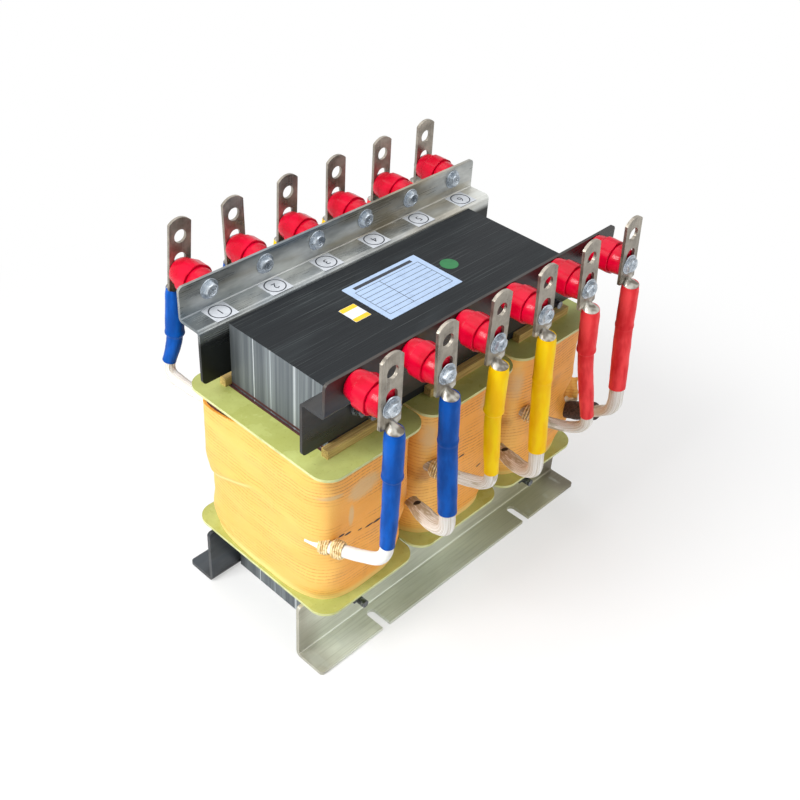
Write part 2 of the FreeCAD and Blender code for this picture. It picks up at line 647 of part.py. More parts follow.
def make_terminals(nodes):
    """Standoffs, lugs and the bolts at both ends of every standoff."""
    standoffs, bracket_bolts, bracket_washers, lug_bolts, lug_washers = [], [], [], [], []
    inward = Vector(0, 1, 0)
    for number, x in enumerate(terminal_centres()):
        standoffs.append(standoff(x))
        flange = Vector(x, -TERMINAL_FLANGE_FACE + BRACKET_SHEET, TERMINAL_HEIGHT)
        bracket_washers.append(bolt_washer(flange, inward))
        seat = flange + inward * WASHER_THICKNESS
        bracket_bolts.append(hex_bolt(seat, inward, WASHER_THICKNESS + BRACKET_SHEET))
        palm = Vector(x, -LUG_FACE - LUG_THICKNESS, TERMINAL_HEIGHT)
        lug_washers.append(bolt_washer(palm, inward * -1))
        seat = palm - inward * WASHER_THICKNESS
        lug_bolts.append(hex_bolt(seat, inward * -1, WASHER_THICKNESS + LUG_THICKNESS))
        piece = lug(x)
        nodes["front_lug_%d" % (number + 1)] = [on_front_terminal(piece, number, x)]
        nodes["back_lug_%d" % (number + 1)] = [on_back_terminal(piece, number, x)]
    nodes["front_standoffs"] = standoffs
    nodes["back_standoffs"] = [mirrored_to_back(piece) for piece in standoffs]
    nodes["bracket_bolts"] = front_and_back(bracket_bolts)
    nodes["bracket_washers"] = front_and_back(bracket_washers)
    nodes["lug_bolts"] = front_and_back(lug_bolts)
    nodes["lug_washers"] = front_and_back(lug_washers)


def back_offsets(side):
    """Route of a back lead: it leans away from its phase's middle, to the given side."""
    return [(side * x, y, z) for x, y, z in BACK_ROUTE]


def make_leads(nodes):
    """Leads from the coils to the lugs, and the coloured sleeves over them."""
    colours = ("blue", "yellow", "red")
    for colour in colours:
        nodes[colour + "_sleeves"] = []
    for number, x in enumerate(terminal_centres()):
        phase, second = divmod(number, TERMINALS_PER_PHASE)
        radius = LEAD_RADIUS["double" if second else "single"]
        winding = nodes[PHASES[phase] + "_coil"][0]
        points = lead_points(x, FRONT_ROUTES[number])
        piece, front_length = lead(points, radius)
        piece = on_front_terminal(piece, number, x)
        nodes["front_lead_%d" % (number + 1)] = [outside_coil(piece, winding)]
        sleeves = nodes[colours[phase] + "_sleeves"]
        cover = sleeve(points, radius, FRONT_SLEEVE_LENGTHS[number])
        sleeves.append(on_front_terminal(cover, number, x))
        points = lead_points(x, back_offsets(1 if second else -1))
        piece, back_length = lead(points, radius)
        piece = on_back_terminal(piece, number, x)
        nodes["back_lead_%d" % (number + 1)] = [outside_coil(piece, winding)]
        sleeves.append(on_back_terminal(sleeve(points, radius, BACK_SLEEVE_LENGTH), number, x))
        print("lead %d: front route %.0f mm, back route %.0f mm" % (number + 1, front_length, back_length))


def main():
    """Builds every sub-part and writes one file for each."""
    nodes = {}
    make_core(nodes)
    make_coils(nodes)
    make_frame(nodes)
    make_terminals(nodes)
    make_leads(nodes)
    os.makedirs("parts", exist_ok=True)
    for name, pieces in nodes.items():
        shape = pieces[0] if len(pieces) == 1 else Part.makeCompound(pieces)
        shape.exportStep("parts/%s.step" % name)


main()
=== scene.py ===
import math

import bmesh
import bpy
from mathutils import Matrix, Vector, noise


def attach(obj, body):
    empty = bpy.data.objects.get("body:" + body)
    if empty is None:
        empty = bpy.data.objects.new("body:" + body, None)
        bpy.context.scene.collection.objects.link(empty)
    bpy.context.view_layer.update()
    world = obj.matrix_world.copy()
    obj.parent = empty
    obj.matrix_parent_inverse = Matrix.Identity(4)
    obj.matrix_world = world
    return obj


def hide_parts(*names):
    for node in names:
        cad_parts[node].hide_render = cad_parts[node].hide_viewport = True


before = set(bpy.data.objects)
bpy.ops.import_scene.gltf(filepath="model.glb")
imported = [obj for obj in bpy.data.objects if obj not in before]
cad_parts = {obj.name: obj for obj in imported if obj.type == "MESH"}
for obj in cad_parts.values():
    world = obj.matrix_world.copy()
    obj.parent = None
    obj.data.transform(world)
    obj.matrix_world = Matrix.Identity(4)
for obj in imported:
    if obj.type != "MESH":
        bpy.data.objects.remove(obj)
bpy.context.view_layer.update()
MM = 0.001

# Sizes that the part's source sets, in millimetres, and tilts in degrees
SIDES = ("left", "middle", "right")
PHASES = (-130.0, 0.0, 130.0)
TERMINALS = (-162.5, -97.5, -32.5, 32.5, 97.5, 162.5)
COIL_HALF_WIDTH = 62.0
COIL_HALF_DEPTH = 90.0
COIL_BOTTOM = 72.0
COIL_TOP = 238.0
COIL_LEVELS = ((0.0, 3.5), (0.15, 5.0), (0.27, 4.2), (0.39, 4.2), (0.57, 7.6), (0.78, 6.6), (1.0, 6.8))
FORMER_HALF_WIDTH = 36.5
FORMER_HALF_DEPTH = 69.0
TERMINAL_HEIGHT = 332.8
FLANGE_INNER = 91.5
FLANGE_OUTER = 94.5
PALM_FACE = 136.0
WASHER_THICKNESS = 1.6
BARREL_LINE = 141.0
BARREL_END = 262.0
ROUTE_TOP = 311.8
CORE_TOP = 308.75
SHELF_TOP = 313.6
FRONT_TILTS = (-1.0, -3.5, 0.0, -4.0, -6.5, -5.5)
BACK_TILTS = (5.0, -1.5, 1.5, 0.0, 0.0, 0.0)
SINGLE_RADIUS = 6.25
DOUBLE_RADIUS = 7.6

# Control points of the leads in millimetres, as offsets from the lower end of the lug's barrel while
# the lug is upright; each route begins with three points inside the barrel.
FRONT_ROUTES = (
    ((-2.9, -1.0, -64.8), (-4.5, -1.5, -93.0), (-6.0, 21.0, -110.0), (-29.5, 76.0, -110.0)),
    ((-4.1, -7.1, -79.2), (-5.5, -9.5, -102.0), (-2.5, 11.0, -112.0), (19.2, 59.0, -130.5)),
    ((2.2, -3.7, -58.9), (3.5, -6.0, -88.0), (2.0, 21.0, -99.0), (-16.5, 49.0, -92.0), (-17.5, 75.0, -90.0)),
    ((-5.4, -6.8, -83.9), (-7.5, -9.5, -112.0), (-3.0, 16.0, -123.5), (18.9, 59.0, -138.8)),
    (
        (3.6, -5.5, -71.1), (5.5, -8.5, -103.5), (-3.5, 21.0, -114.0), (-24.8, 48.0, -98.3),
        (-25.6, 75.0, -96.2),
    ),
    (
        (-5.8, -5.8, -68.1), (-9.0, -9.0, -99.0), (-0.5, 9.0, -123.0), (2.6, 57.0, -153.0),
        (-13.0, 88.0, -162.0),
    ),
)
BACK_ROUTE = ((3.5, -9.6, -47.0), (2.4, 20.0, -49.6), (-3.0, 72.5, -49.0))

# How far each sleeve reaches below its barrel
FRONT_SLEEVES = (78.0, 80.5, 72.0, 83.0, 86.5, 75.5)
BACK_SLEEVE = 34.0

# Where the second lead of each phase leaves its coil, under a swelling of the tape
LEAD_EXITS = ((-66.0, -84.0, 134.0), (65.0, -84.0, 126.0), (192.0, -82.0, 110.0))
BULGE_HEIGHT = 14.0
BULGE_SPREAD = 17.0

# Painted shade: dark spots for the openings in the worn ends of the second lead's and the fourth lead's
# covers
PAINTED_OPENING_SHADE = ((-71.0, -94.0, 142.0), (60.0, -95.0, 135.0))

# A fold crosses the left side of the coils: its height where y is 0, and its fall along y
FOLD_HEIGHT = 170.3
FOLD_FALL = 0.385

# How far the back left corner of a coil's top sags, and the height of the inner wrap under it
COIL_SAG = 13.0
LINING_HEIGHT = 17.0
LINING_INSET = 3.2

# A sleeve's outside over its lead and over the barrel, and how far below its rim it is drawn up
SLEEVE_WALL = 1.45
SLEEVE_RADIUS_ON_BARREL = 9.1
RIM_DEPTH = 9.0

STANDOFF_LENGTH = 38.5
HEAD_HEIGHT = 4.2
HEAD_FACE_RADIUS = 5.6
STICKER_HALF_WIDTH = 12.5
STICKER_CENTRE_Y = 79.2
STICKER_THICKNESS = 0.15
PRINT_THICKNESS = 0.04
RING_THICKNESS = 0.05

# The front leads that thin out before their coils: where that starts, in metres along the route, and
# the share of the radius that is left
THINNING = {0: (0.200, 0.2), 1: (0.19, 0.75), 3: (0.197, 0.75)}

# Windings of twine: front lead, start and end in metres along its route, turns, and the radii of the
# winding and of the twine in millimetres
TWINE = (
    (0, 0.188, 0.199, 7, 7.2, 0.8), (0, 0.190, 0.198, 4, 8.2, 0.8), (0, 0.202, 0.212, 6, 6.9, 0.8),
    (0, 0.204, 0.210, 3, 7.8, 0.8), (0, 0.196, 0.206, 2, 7.0, 0.6),
    (2, 0.186, 0.199, 6, 7.5, 0.9), (2, 0.188, 0.197, 4, 8.6, 0.9), (4, 0.209, 0.219, 4, 7.6, 0.9),
    (4, 0.211, 0.217, 2, 8.5, 0.8),
)

# Inputs of the tube tree that make a plain tube
PLAIN_TUBE = {
    "Start": 0.0, "End": 1.0, "Swell": 0.0, "Swell Length": 0.0, "Ring": 0.0, "Lip": 0.0, "Shrink": 0.0,
    "Thin From": 0.9, "Thin": 1.0, "Flatness": 0.0, "Flat From": 0.2, "Close": True,
}

# The camera as it was worked out from the photo: place in metres, azimuth, elevation and roll in
# degrees, and focal length in pixels of a square picture
CAMERA_PLACE = (-0.66990, -0.59513, 0.87825)
CAMERA_ANGLES = (-48.3962, 38.1732, 3.9208)
FOCAL_LENGTH = 1116.4637
PICTURE_WIDTH = 800.0
SENSOR_WIDTH = 36.0
FLOOR_REACH = 3000.0
FLOOR_LEVEL = -0.5
LAMP_TARGET = (0.0, 0.0, 0.2)
WHITE = (1.0, 1.0, 1.0, 1.0)

# The random spin of the bolts
SPIN_SEED = 7

# Fineness of the meshes
COIL_POINTS = 176
COIL_STEPS = 110
SAG_STEPS = 14
HEAD_POINTS = 72
WASHER_POINTS = 64
PRINT_POINTS = 64
TUBE_STEP = 0.0011
TUBE_POINTS = 36
TWINE_STEPS = 160
TWINE_POINTS = 8
SCRAP_STEPS = 16


def operator(operation, reflected=False):
    """A method of Value that adds one Math node."""

    def apply(value, *others):
        numbers = (*others, value) if reflected else (value, *others)
        return value.graph.add("ShaderNodeMath", {"operation": operation}, dict(enumerate(numbers)))

    return apply


class Value:
    """An output socket. Arithmetic on it adds Math nodes to its tree."""

    def __init__(self, graph, socket):
        self.graph = graph
        self.socket = socket

    __add__ = operator("ADD")
    __radd__ = operator("ADD", True)
    __sub__ = operator("SUBTRACT")
    __rsub__ = operator("SUBTRACT", True)
    __mul__ = operator("MULTIPLY")
    __rmul__ = operator("MULTIPLY", True)
    __abs__ = operator("ABSOLUTE")
    larger = operator("MAXIMUM")
    sine = operator("SINE")
    cosine = operator("COSINE")


class Graph:
    """A shader or geometry tree that is filled node by node."""

    def __init__(self, tree):
        self.tree = tree

    def add(self, kind, settings=None, values=None, out=0):
        node = self.tree.nodes.new(kind)
        for name, setting in (settings or {}).items():
            setattr(node, name, setting)
        for key, value in (values or {}).items():
            if isinstance(value, Value):
                self.tree.links.new(value.socket, node.inputs[key])
            else:
                node.inputs[key].default_value = value
        return Value(self, node.outputs[out]) if len(node.outputs) else None

    def vector(self, operation, *values, out=0):
        return self.add("ShaderNodeVectorMath", {"operation": operation}, dict(enumerate(values)), out)

    def scaled(self, vector, factor):
        return self.add("ShaderNodeVectorMath", {"operation": "SCALE"}, {0: vector, "Scale": factor})

    def place(self, stretch=(1.0, 1.0, 1.0)):
        return self.vector("MULTIPLY", self.add("ShaderNodeTexCoord", out="Object"), stretch)

    def axis(self, name, vector=None):
        """One number of a vector, or of the place on the object."""
        whole = self.place() if vector is None else vector
        return self.add("ShaderNodeSeparateXYZ", values={0: whole}, out=name)

    def facing(self, name):
        return self.axis(name, self.add("ShaderNodeTexCoord", out="Normal"))

    def along(self):
        """The place on a tube: round its rim in X and Y, and in metres along its route in Z."""
        return self.add("ShaderNodeAttribute", {"attribute_name": "along"}, out="Vector")

    def noise(self, vector, scale=1.0, detail=3.0, roughness=0.5):
        values = {"Vector": vector, "Scale": scale, "Detail": detail, "Roughness": roughness}
        return self.add("ShaderNodeTexNoise", values=values)

    def grain(self, size, detail=3.0, roughness=0.5):
        """Noise on the object, of one scale or of one for each axis."""
        if isinstance(size, tuple):
            return self.noise(self.place(size), 1.0, detail, roughness)
        return self.noise(self.place(), size, detail, roughness)

    def fibre(self, stretch, detail=3.0, roughness=0.5):
        """Noise that runs along a tube."""
        return self.noise(self.vector("MULTIPLY", self.along(), stretch), 1.0, detail, roughness)

    def ramp(self, value, low, high, start=0.0, end=1.0):
        settings = {"interpolation_type": "SMOOTHSTEP"}
        return self.add("ShaderNodeMapRange", settings, {0: value, 1: low, 2: high, 3: start, 4: end})

    def mix(self, share, first, second):
        """A colour between two; a plain one is given by its 0 to 255 numbers."""
        ends = [paint(colour) if isinstance(colour, tuple) else colour for colour in (first, second)]
        return self.add("ShaderNodeMix", {"data_type": "RGBA"}, {0: share, 6: ends[0], 7: ends[1]}, 2)

    def bump(self, height, strength, distance, below=None):
        values = {"Height": height, "Strength": strength, "Distance": distance}
        if below is not None:
            values["Normal"] = below
        return self.add("ShaderNodeBump", values=values)

    def spot(self, centre, radii, ragged, soft):
        """1 inside an ellipsoid given in millimetres, fading out over its edge."""
        away = self.vector("DIVIDE", self.vector("SUBTRACT", self.place(), metres(centre)), metres(radii))
        distance = self.vector("LENGTH", away, out="Value") + ragged * (self.grain(160.0, 4.0) - 0.5)
        return self.ramp(distance, 1.0, 1.0 - soft)

    def spots(self, *places):
        whole, *others = [self.spot(*place) for place in places]
        for other in others:
            whole = whole.larger(other)
        return whole

    def trimmed(self, given):
        """The stretch of a tree's route between its start and its end, in metres."""
        values = {"Curve": given["Geometry"], 4: given["Start"], 5: given["End"]}
        return self.add("GeometryNodeTrimCurve", {"mode": "LENGTH"}, values)

    def circle(self, points, radius):
        values = {"Resolution": points, "Radius": radius}
        return self.add("GeometryNodeCurvePrimitiveCircle", {"mode": "RADIUS"}, values)

    def store(self, geometry, name, value, kind="FLOAT_VECTOR"):
        values = {"Geometry": geometry, "Name": name, "Value": value}
        return self.add("GeometryNodeStoreNamedAttribute", {"data_type": kind, "domain": "POINT"}, values)

    def stored(self, name, kind="FLOAT_VECTOR"):
        return self.add("GeometryNodeInputNamedAttribute", {"data_type": kind}, {"Name": name})


def metres(point):
    return tuple(number * MM for number in point)


def paint(colour):
    """A colour for the shaders from its 0 to 255 numbers."""
    shares = [number / 255.0 for number in colour]
    return tuple(s / 12.92 if s <= 0.04045 else ((s + 0.055) / 1.055) ** 2.4 for s in shares) + (1.0,)


def fresh_graph(owner):
    """The emptied node tree of a material or a world."""
    owner.use_nodes = True
    owner.node_tree.nodes.clear()
    return Graph(owner.node_tree)


def make_finish(name, recipe, *choices):
    """A node material; the recipe returns the values and links of the Principled shader."""
    material = bpy.data.materials.new(name)
    g = fresh_graph(material)
    shader = g.add("ShaderNodeBsdfPrincipled", values=recipe(g, *choices))
    g.add("ShaderNodeOutputMaterial", values={"Surface": shader})
    return material


def surface(colour, roughness, normal, metallic=0.0, specular=0.5, others=None):
    """The values of a Principled shader by the names of its sockets."""
    values = {"Base Color": colour, "Roughness": roughness, "Normal": normal, "Metallic": metallic}
    return {**values, "Specular IOR Level": specular, **(others or {})}


def varnished_stack(g):
    """Edges of thin steel sheets stacked along Y, dark varnished on top and greyer on the cut ends."""
    depth = g.axis("Y")
    sheets = g.grain((4.0, 1500.0, 4.0), 2.0)
    packets = g.grain((2.0, 130.0, 2.0))
    cloud = g.grain((9.0, 40.0, 14.0), 4.0, 0.6)
    scratch = g.ramp(g.grain((7.0, 900.0, 7.0), 3.0, 0.6), 0.58, 0.74)
    end = g.ramp(abs(g.facing("X")), 0.4, 0.7)
    top = g.mix(sheets, (20, 23, 26), (42, 45, 48))
    top = g.mix(g.ramp(cloud, 0.5, 0.75, 0.0, 0.4), top, (62, 67, 69))
    top = g.mix(scratch * 0.5, top, (100, 106, 106))
    cut = g.mix(g.ramp(packets, 0.3, 0.7), (92, 98, 103), (140, 148, 151))
    cut = g.mix(g.ramp(depth, 0.015, 0.06, 0.0, 0.55), cut, (74, 76, 74))
    cut = g.mix(g.ramp(sheets, 0.35, 0.65, 0.0, 0.55), cut, (76, 82, 88))
    for place, width, share in ((32.7, 0.8, 0.8), (9.7, 0.6, 0.5), (-22.0, 2.0, 0.55), (-45.6, 0.7, 0.4)):
        line = g.ramp(abs(depth - place * MM), width * MM, 0.3 * width * MM)
        cut = g.mix(line * share, cut, (214, 220, 224))
    return surface(
        g.mix(end, top, cut), g.ramp(cloud, 0.3, 0.8, 0.36, 0.55),
        g.bump(sheets + packets, 0.3, 0.0004), metallic=0.1, specular=0.12,
    )


def red_brown_board(g):
    fibre = g.grain((60.0, 500.0, 500.0), 4.0)
    return surface(
        g.mix(fibre, (52, 24, 24), (96, 54, 48)), g.ramp(fibre, 0.3, 0.7, 0.55, 0.8),
        g.bump(fibre, 0.4, 0.0004),
    )


def laminate(g):
    """Glass laminate sheet: glossy green-yellow faces and pale sawn edges."""
    weave_x = g.add("ShaderNodeTexWave", {"bands_direction": "X"}, {"Vector": g.place(), "Scale": 260.0})
    weave_y = g.add("ShaderNodeTexWave", {"bands_direction": "Y"}, {"Vector": g.place(), "Scale": 260.0})
    cloud = g.grain(22.0, 4.0, 0.6)
    speck = g.ramp(g.grain(420.0, 2.0), 0.62, 0.72)
    face = g.mix(g.ramp(cloud, 0.3, 0.7), (170, 175, 96), (188, 196, 120))
    face = g.mix(speck * 0.25, face, (134, 132, 58))
    edge = g.ramp(abs(g.facing("Z")), 0.8, 0.4)
    edge = edge * g.ramp(g.grain(90.0), 0.25, 0.6, 0.3, 0.9)
    return surface(
        g.mix(edge, face, (212, 216, 160)), g.ramp(cloud, 0.3, 0.7, 0.22, 0.38),
        g.bump(weave_x + weave_y, 0.08, 0.0002), specular=0.25,
    )


def wrapped_tape(g):
    """Varnished winding tape: fine level wraps, soaked patches, a fold and a few open slits. The faces
    towards -X are painted lighter and yellower than the front; the soaked patches, kept to the front, are
    partly painted shade; the light line of the fold and the light bottom edge are painted highlights; the
    slits and the lead openings are painted shade.
    """
    x, y, z = (g.axis(name) for name in "XYZ")
    drift = g.grain((13.0, 13.0, 6.0), 2.0)
    lift = (z + 0.016 * drift) * (2 * math.pi / 0.0039)
    broken = g.grain((420.0, 420.0, 120.0), 2.0)
    strength = g.grain((16.0, 16.0, 60.0))
    wraps = g.ramp(lift.sine() + 1.6 * (broken - 0.5), 0.35, 1.05) * g.ramp(strength, 0.36, 0.58)
    bands = g.grain((5.0, 5.0, 55.0))
    weave = g.grain((1000.0, 1000.0, 700.0), 2.0)
    soak = g.grain(24.0, 5.0, 0.6)
    # Side mask: faces towards -X get lighter, yellower colours and the front darker, more orange ones, which
    # is painted light and shade by facing.
    side = g.ramp(g.facing("X"), 0.1, -0.6)
    body = g.mix(side, (246, 170, 68), (242, 186, 90))
    body = g.mix(g.ramp(bands, 0.4, 0.7, 0.0, 0.45), body, g.mix(side, (230, 150, 52), (250, 204, 108)))
    body = g.mix(wraps * 0.7, body, g.mix(side, (186, 112, 40), (214, 140, 56)))
    body = g.mix(g.ramp(weave, 0.55, 0.75, 0.0, 0.25), body, (252, 206, 130))
    # Darker soaked patches on the front only: partly real soaking, partly painted shade.
    body = g.mix(g.ramp(soak, 0.56, 0.74, 0.0, 0.5) * (1 - side), body, (184, 118, 50))
    # Lighter along the bottom edge: painted highlight.
    body = g.mix(g.ramp(z, 0.083, 0.074, 0.0, 0.7), body, (255, 228, 150))
    # A light line along the fold: painted highlight.
    fold_highlight = abs(z - (FOLD_HEIGHT * MM - FOLD_FALL * y))
    fold_highlight = g.ramp(fold_highlight, 0.0035, 0.0005) * g.ramp(y, 0.0, 0.02) * g.ramp(x, -0.17, -0.185)
    body = g.mix(fold_highlight * 0.55, body, (255, 232, 156))
    pale = g.spots(
        ((-140, -92, 202), (26, 40, 15), 0.5, 0.5), ((-154.6, -92, 176), (4, 40, 16), 0.3, 0.5),
        ((-177, -88, 209), (15, 40, 3.5), 0.3, 0.6), ((-50, -88, 205), (10, 40, 26), 0.6, 0.8),
        ((80, -88, 200), (12, 40, 26), 0.6, 0.8), ((30, -92, 210), (16, 40, 20), 0.6, 0.8),
    )
    body = g.mix(pale * 0.85, body, (222, 184, 128))
    brown = g.spots(
        ((-112, -92, 196), (9, 40, 36), 0.8, 0.8), ((-52, -88, 158), (14, 40, 20), 0.8, 0.9),
        ((75, -88, 150), (12, 40, 16), 0.8, 0.9), ((-26, -92, 186), (10, 40, 6), 0.8, 0.8),
    )
    body = g.mix(brown * 0.55, body, (160, 98, 40))
    # Dark slits in the tape and dark openings where the second leads go in: painted shade.
    painted_slit_shade = g.spots(
        ((-165.5, -90, 157.6), (4.6, 16, 1.7), 0.35, 0.4), ((-158, -90, 155.3), (5, 16, 1.5), 0.35, 0.4),
        ((-143, -90, 151), (3.4, 16, 1.0), 0.35, 0.5), ((-131, -90, 148.6), (7, 16, 1.4), 0.35, 0.4),
        ((-121, -90, 147.8), (7, 16, 1.9), 0.35, 0.4), ((-3.5, -90, 158), (5.4, 16, 1.3), 0.35, 0.4),
        ((28.6, -90, 125.6), (5, 16, 1.2), 0.35, 0.4),
        ((-67, -86, 136), (7.5, 14, 7.5), 0.5, 0.3), ((64, -86, 128), (7.5, 14, 7.5), 0.5, 0.3),
    )
    body = g.mix(painted_slit_shade, body, (26, 12, 9))
    lumps = g.grain((18.0, 18.0, 50.0))
    relief = g.bump(lumps + 0.5 * bands, 0.3, 0.003)
    relief = g.bump(1 - wraps, 0.3, 0.0008, relief)
    relief = g.bump(weave, 0.25, 0.0003, relief)
    return surface(body, g.ramp(soak, 0.3, 0.75, 0.62, 0.42), relief)


def front_angle_steel(g):
    """Passivated angle: grey-green in the middle, olive and brown towards its right end."""
    cloud = g.grain((6.0, 14.0, 14.0), 5.0, 0.6)
    drawn = g.grain((12.0, 500.0, 500.0))
    scuff = g.ramp(g.grain((60.0, 30.0, 30.0)), 0.62, 0.72)
    along = g.axis("X")
    body = g.mix(g.ramp(cloud, 0.3, 0.7), (198, 202, 188), (234, 238, 224))
    body = g.mix(g.ramp(along + 0.12 * (cloud - 0.5), -0.02, 0.15, 0.0, 0.7), body, (154, 146, 104))
    body = g.mix(g.ramp(along + 0.06 * (cloud - 0.5), 0.16, 0.2, 0.0, 0.75), body, (72, 56, 46))
    body = g.mix(g.ramp(along + 0.05 * (cloud - 0.5), -0.165, -0.2, 0.0, 0.5), body, (112, 96, 78))
    body = g.mix(g.ramp(drawn, 0.45, 0.7, 0.0, 0.25), body, (134, 136, 114))
    body = g.mix(scuff * 0.3, body, (200, 206, 196))
    return surface(body, g.ramp(cloud, 0.3, 0.7, 0.32, 0.48), g.bump(drawn, 0.12, 0.0003), metallic=0.35)


def rolled_steel(g, dark, light, warm, cool, low=None):
    """Bare rolled sheet with warm and cool stains, and painted shade below the shelf where a low colour is
    given. On the front bracket the dark colours stand in for dark reflections and the warm stain for reddish
    ones: painted reflection.
    """
    cloud = g.grain((7.0, 22.0, 22.0), 5.0, 0.6)
    tint = g.grain((5.0, 12.0, 40.0))
    rolled = g.grain((10.0, 600.0, 600.0))
    body = g.mix(g.ramp(cloud, 0.32, 0.68), dark, light)
    body = g.mix(g.ramp(tint, 0.5, 0.68, 0.0, 0.6), body, warm)
    body = g.mix(g.ramp(tint, 0.48, 0.32, 0.0, 0.6), body, cool)
    body = g.mix(g.ramp(rolled, 0.5, 0.75, 0.0, 0.1), body, dark)
    # The low colour darkens the sheet below the shelf: painted shade.
    if low is not None:
        height = g.axis("Z")
        body = g.mix(g.ramp(height, 0.306, 0.298), body, low)
    return surface(
        body, g.ramp(cloud + 0.4 * (rolled - 0.5), 0.3, 0.7, 0.24, 0.42),
        g.bump(rolled, 0.04, 0.0002), metallic=0.65,
    )


def plated(g, dark, light, scale):
    """Small plated fasteners whose plating is cloudy and rubbed; the cloud of dark and light is partly the
    plating and partly painted reflection.
    """
    cloud = g.grain(scale)
    rub = g.ramp(g.grain(3.1 * scale, 2.0), 0.58, 0.7)
    # Dark and light cloud: partly the plating, partly painted reflection.
    body = g.mix(g.ramp(cloud, 0.3, 0.7), dark, light)
    return surface(
        g.mix(rub * 0.35, body, (230, 234, 238)), g.ramp(cloud, 0.3, 0.7, 0.16, 0.3),
        g.bump(cloud, 0.15, 0.0003), metallic=0.5,
    )


def moulded_red(g):
    cloud = g.grain(60.0)
    fine = g.grain(900.0, 2.0)
    return surface(
        g.mix(g.ramp(cloud, 0.3, 0.7), (188, 0, 34), (206, 2, 46)), g.ramp(cloud, 0.3, 0.7, 0.24, 0.34),
        g.bump(fine, 0.06, 0.0002), specular=0.15, others={"Coat Weight": 0.12, "Coat Roughness": 0.08},
    )


def tinned_copper(g):
    """Tinned palms, brushed along, darker and mottled where the roof of the barrel is pressed; that dark and
    light mottle is partly the pressed tin and partly painted shade and reflection on the neck.
    """
    cloud = g.grain(70.0, 5.0, 0.65)
    brushed = g.grain((700.0, 700.0, 25.0))
    height = g.axis("Z")
    creased = g.ramp(height, 0.3195, 0.317)
    # Mottle of the neck: partly the pressed tin, partly painted shade and reflection.
    press_mottle_and_glints = g.ramp(g.grain((150.0, 150.0, 40.0), 1.0), 0.36, 0.6)
    body = g.mix(g.ramp(cloud, 0.3, 0.7), (126, 119, 109), (168, 161, 149))
    body = g.mix(g.ramp(brushed, 0.55, 0.75, 0.0, 0.35), body, (206, 202, 190))
    body = g.mix(creased * 0.9, body, g.mix(press_mottle_and_glints, (112, 106, 96), (196, 193, 184)))
    return surface(
        body, g.ramp(cloud, 0.3, 0.7, 0.26, 0.44), g.bump(brushed + cloud, 0.12, 0.0003), metallic=0.75,
    )


def glass_braid(g):
    """White glass fibre covering; its strands run along the lead, browner towards the coil."""
    run = g.axis("Z", g.along())
    strands = g.fibre((22.0, 22.0, 16.0), 2.0)
    plait = g.fibre((14.0, 14.0, 700.0), 2.0)
    stain = g.fibre((1.6, 1.6, 42.0), 4.0, 0.6)
    body = g.mix(g.ramp(strands, 0.38, 0.56), (198, 188, 172), (242, 241, 238))
    worn = g.ramp(stain + g.ramp(run, 0.16, 0.19, 0.0, 0.16), 0.56, 0.7, 0.0, 0.8)
    body = g.mix(worn, body, (168, 152, 116))
    # Dark spots at the covers' open ends: painted shade.
    for centre in PAINTED_OPENING_SHADE:
        body = g.mix(g.spot(centre, (5.0, 5.0, 4.5), 0.5, 0.3), body, (26, 17, 15))
    return surface(body, 0.72, g.bump(strands + 0.4 * plait, 0.5, 0.0006))


def smooth_cover(g):
    """The first lead's clean woven cover."""
    fine = g.grain(700.0, 2.0)
    shade = g.grain(60.0)
    return surface(
        g.mix(g.ramp(shade, 0.4, 0.7), (240, 240, 238), (222, 220, 214)), 0.62,
        g.bump(fine, 0.2, 0.0003),
    )


def shrink_sleeve(g, shaded_copy, light):
    """Shrink tube in a shaded and a lit copy of one colour along its folds, painted shade and light; satin
    and slightly uneven.
    """
    folds_and_shade = g.fibre((0.9, 0.9, 30.0))
    fine = g.fibre((3.0, 3.0, 220.0))
    # The colour goes from the shaded copy to the lit one along the folds: painted shade and light.
    return surface(
        g.mix(g.ramp(folds_and_shade, 0.35, 0.65), shaded_copy, light), g.ramp(folds_and_shade, 0.3, 0.7, 0.5, 0.36),
        g.bump(fine + folds_and_shade, 0.12, 0.0007), specular=0.12,
    )


def grained(g, dark, light, size, detail=3.0, ends=(0.35, 0.65), roughness=0.82, relief=(0.6, 0.0006)):
    """Wood, twine and cloth: one grain in the colour and in the relief."""
    grain = g.grain(size, detail)
    return surface(g.mix(g.ramp(grain, *ends), dark, light), roughness, g.bump(grain, *relief))


def printed(g, colour, worn):
    """Printed film or paper with faint wear."""
    dust = g.grain(130.0, 4.0)
    return surface(
        g.mix(g.ramp(dust, 0.45, 0.8, 0.0, 0.5), colour, worn), g.ramp(dust, 0.3, 0.7, 0.38, 0.5),
        g.bump(dust, 0.05, 0.0002),
    )


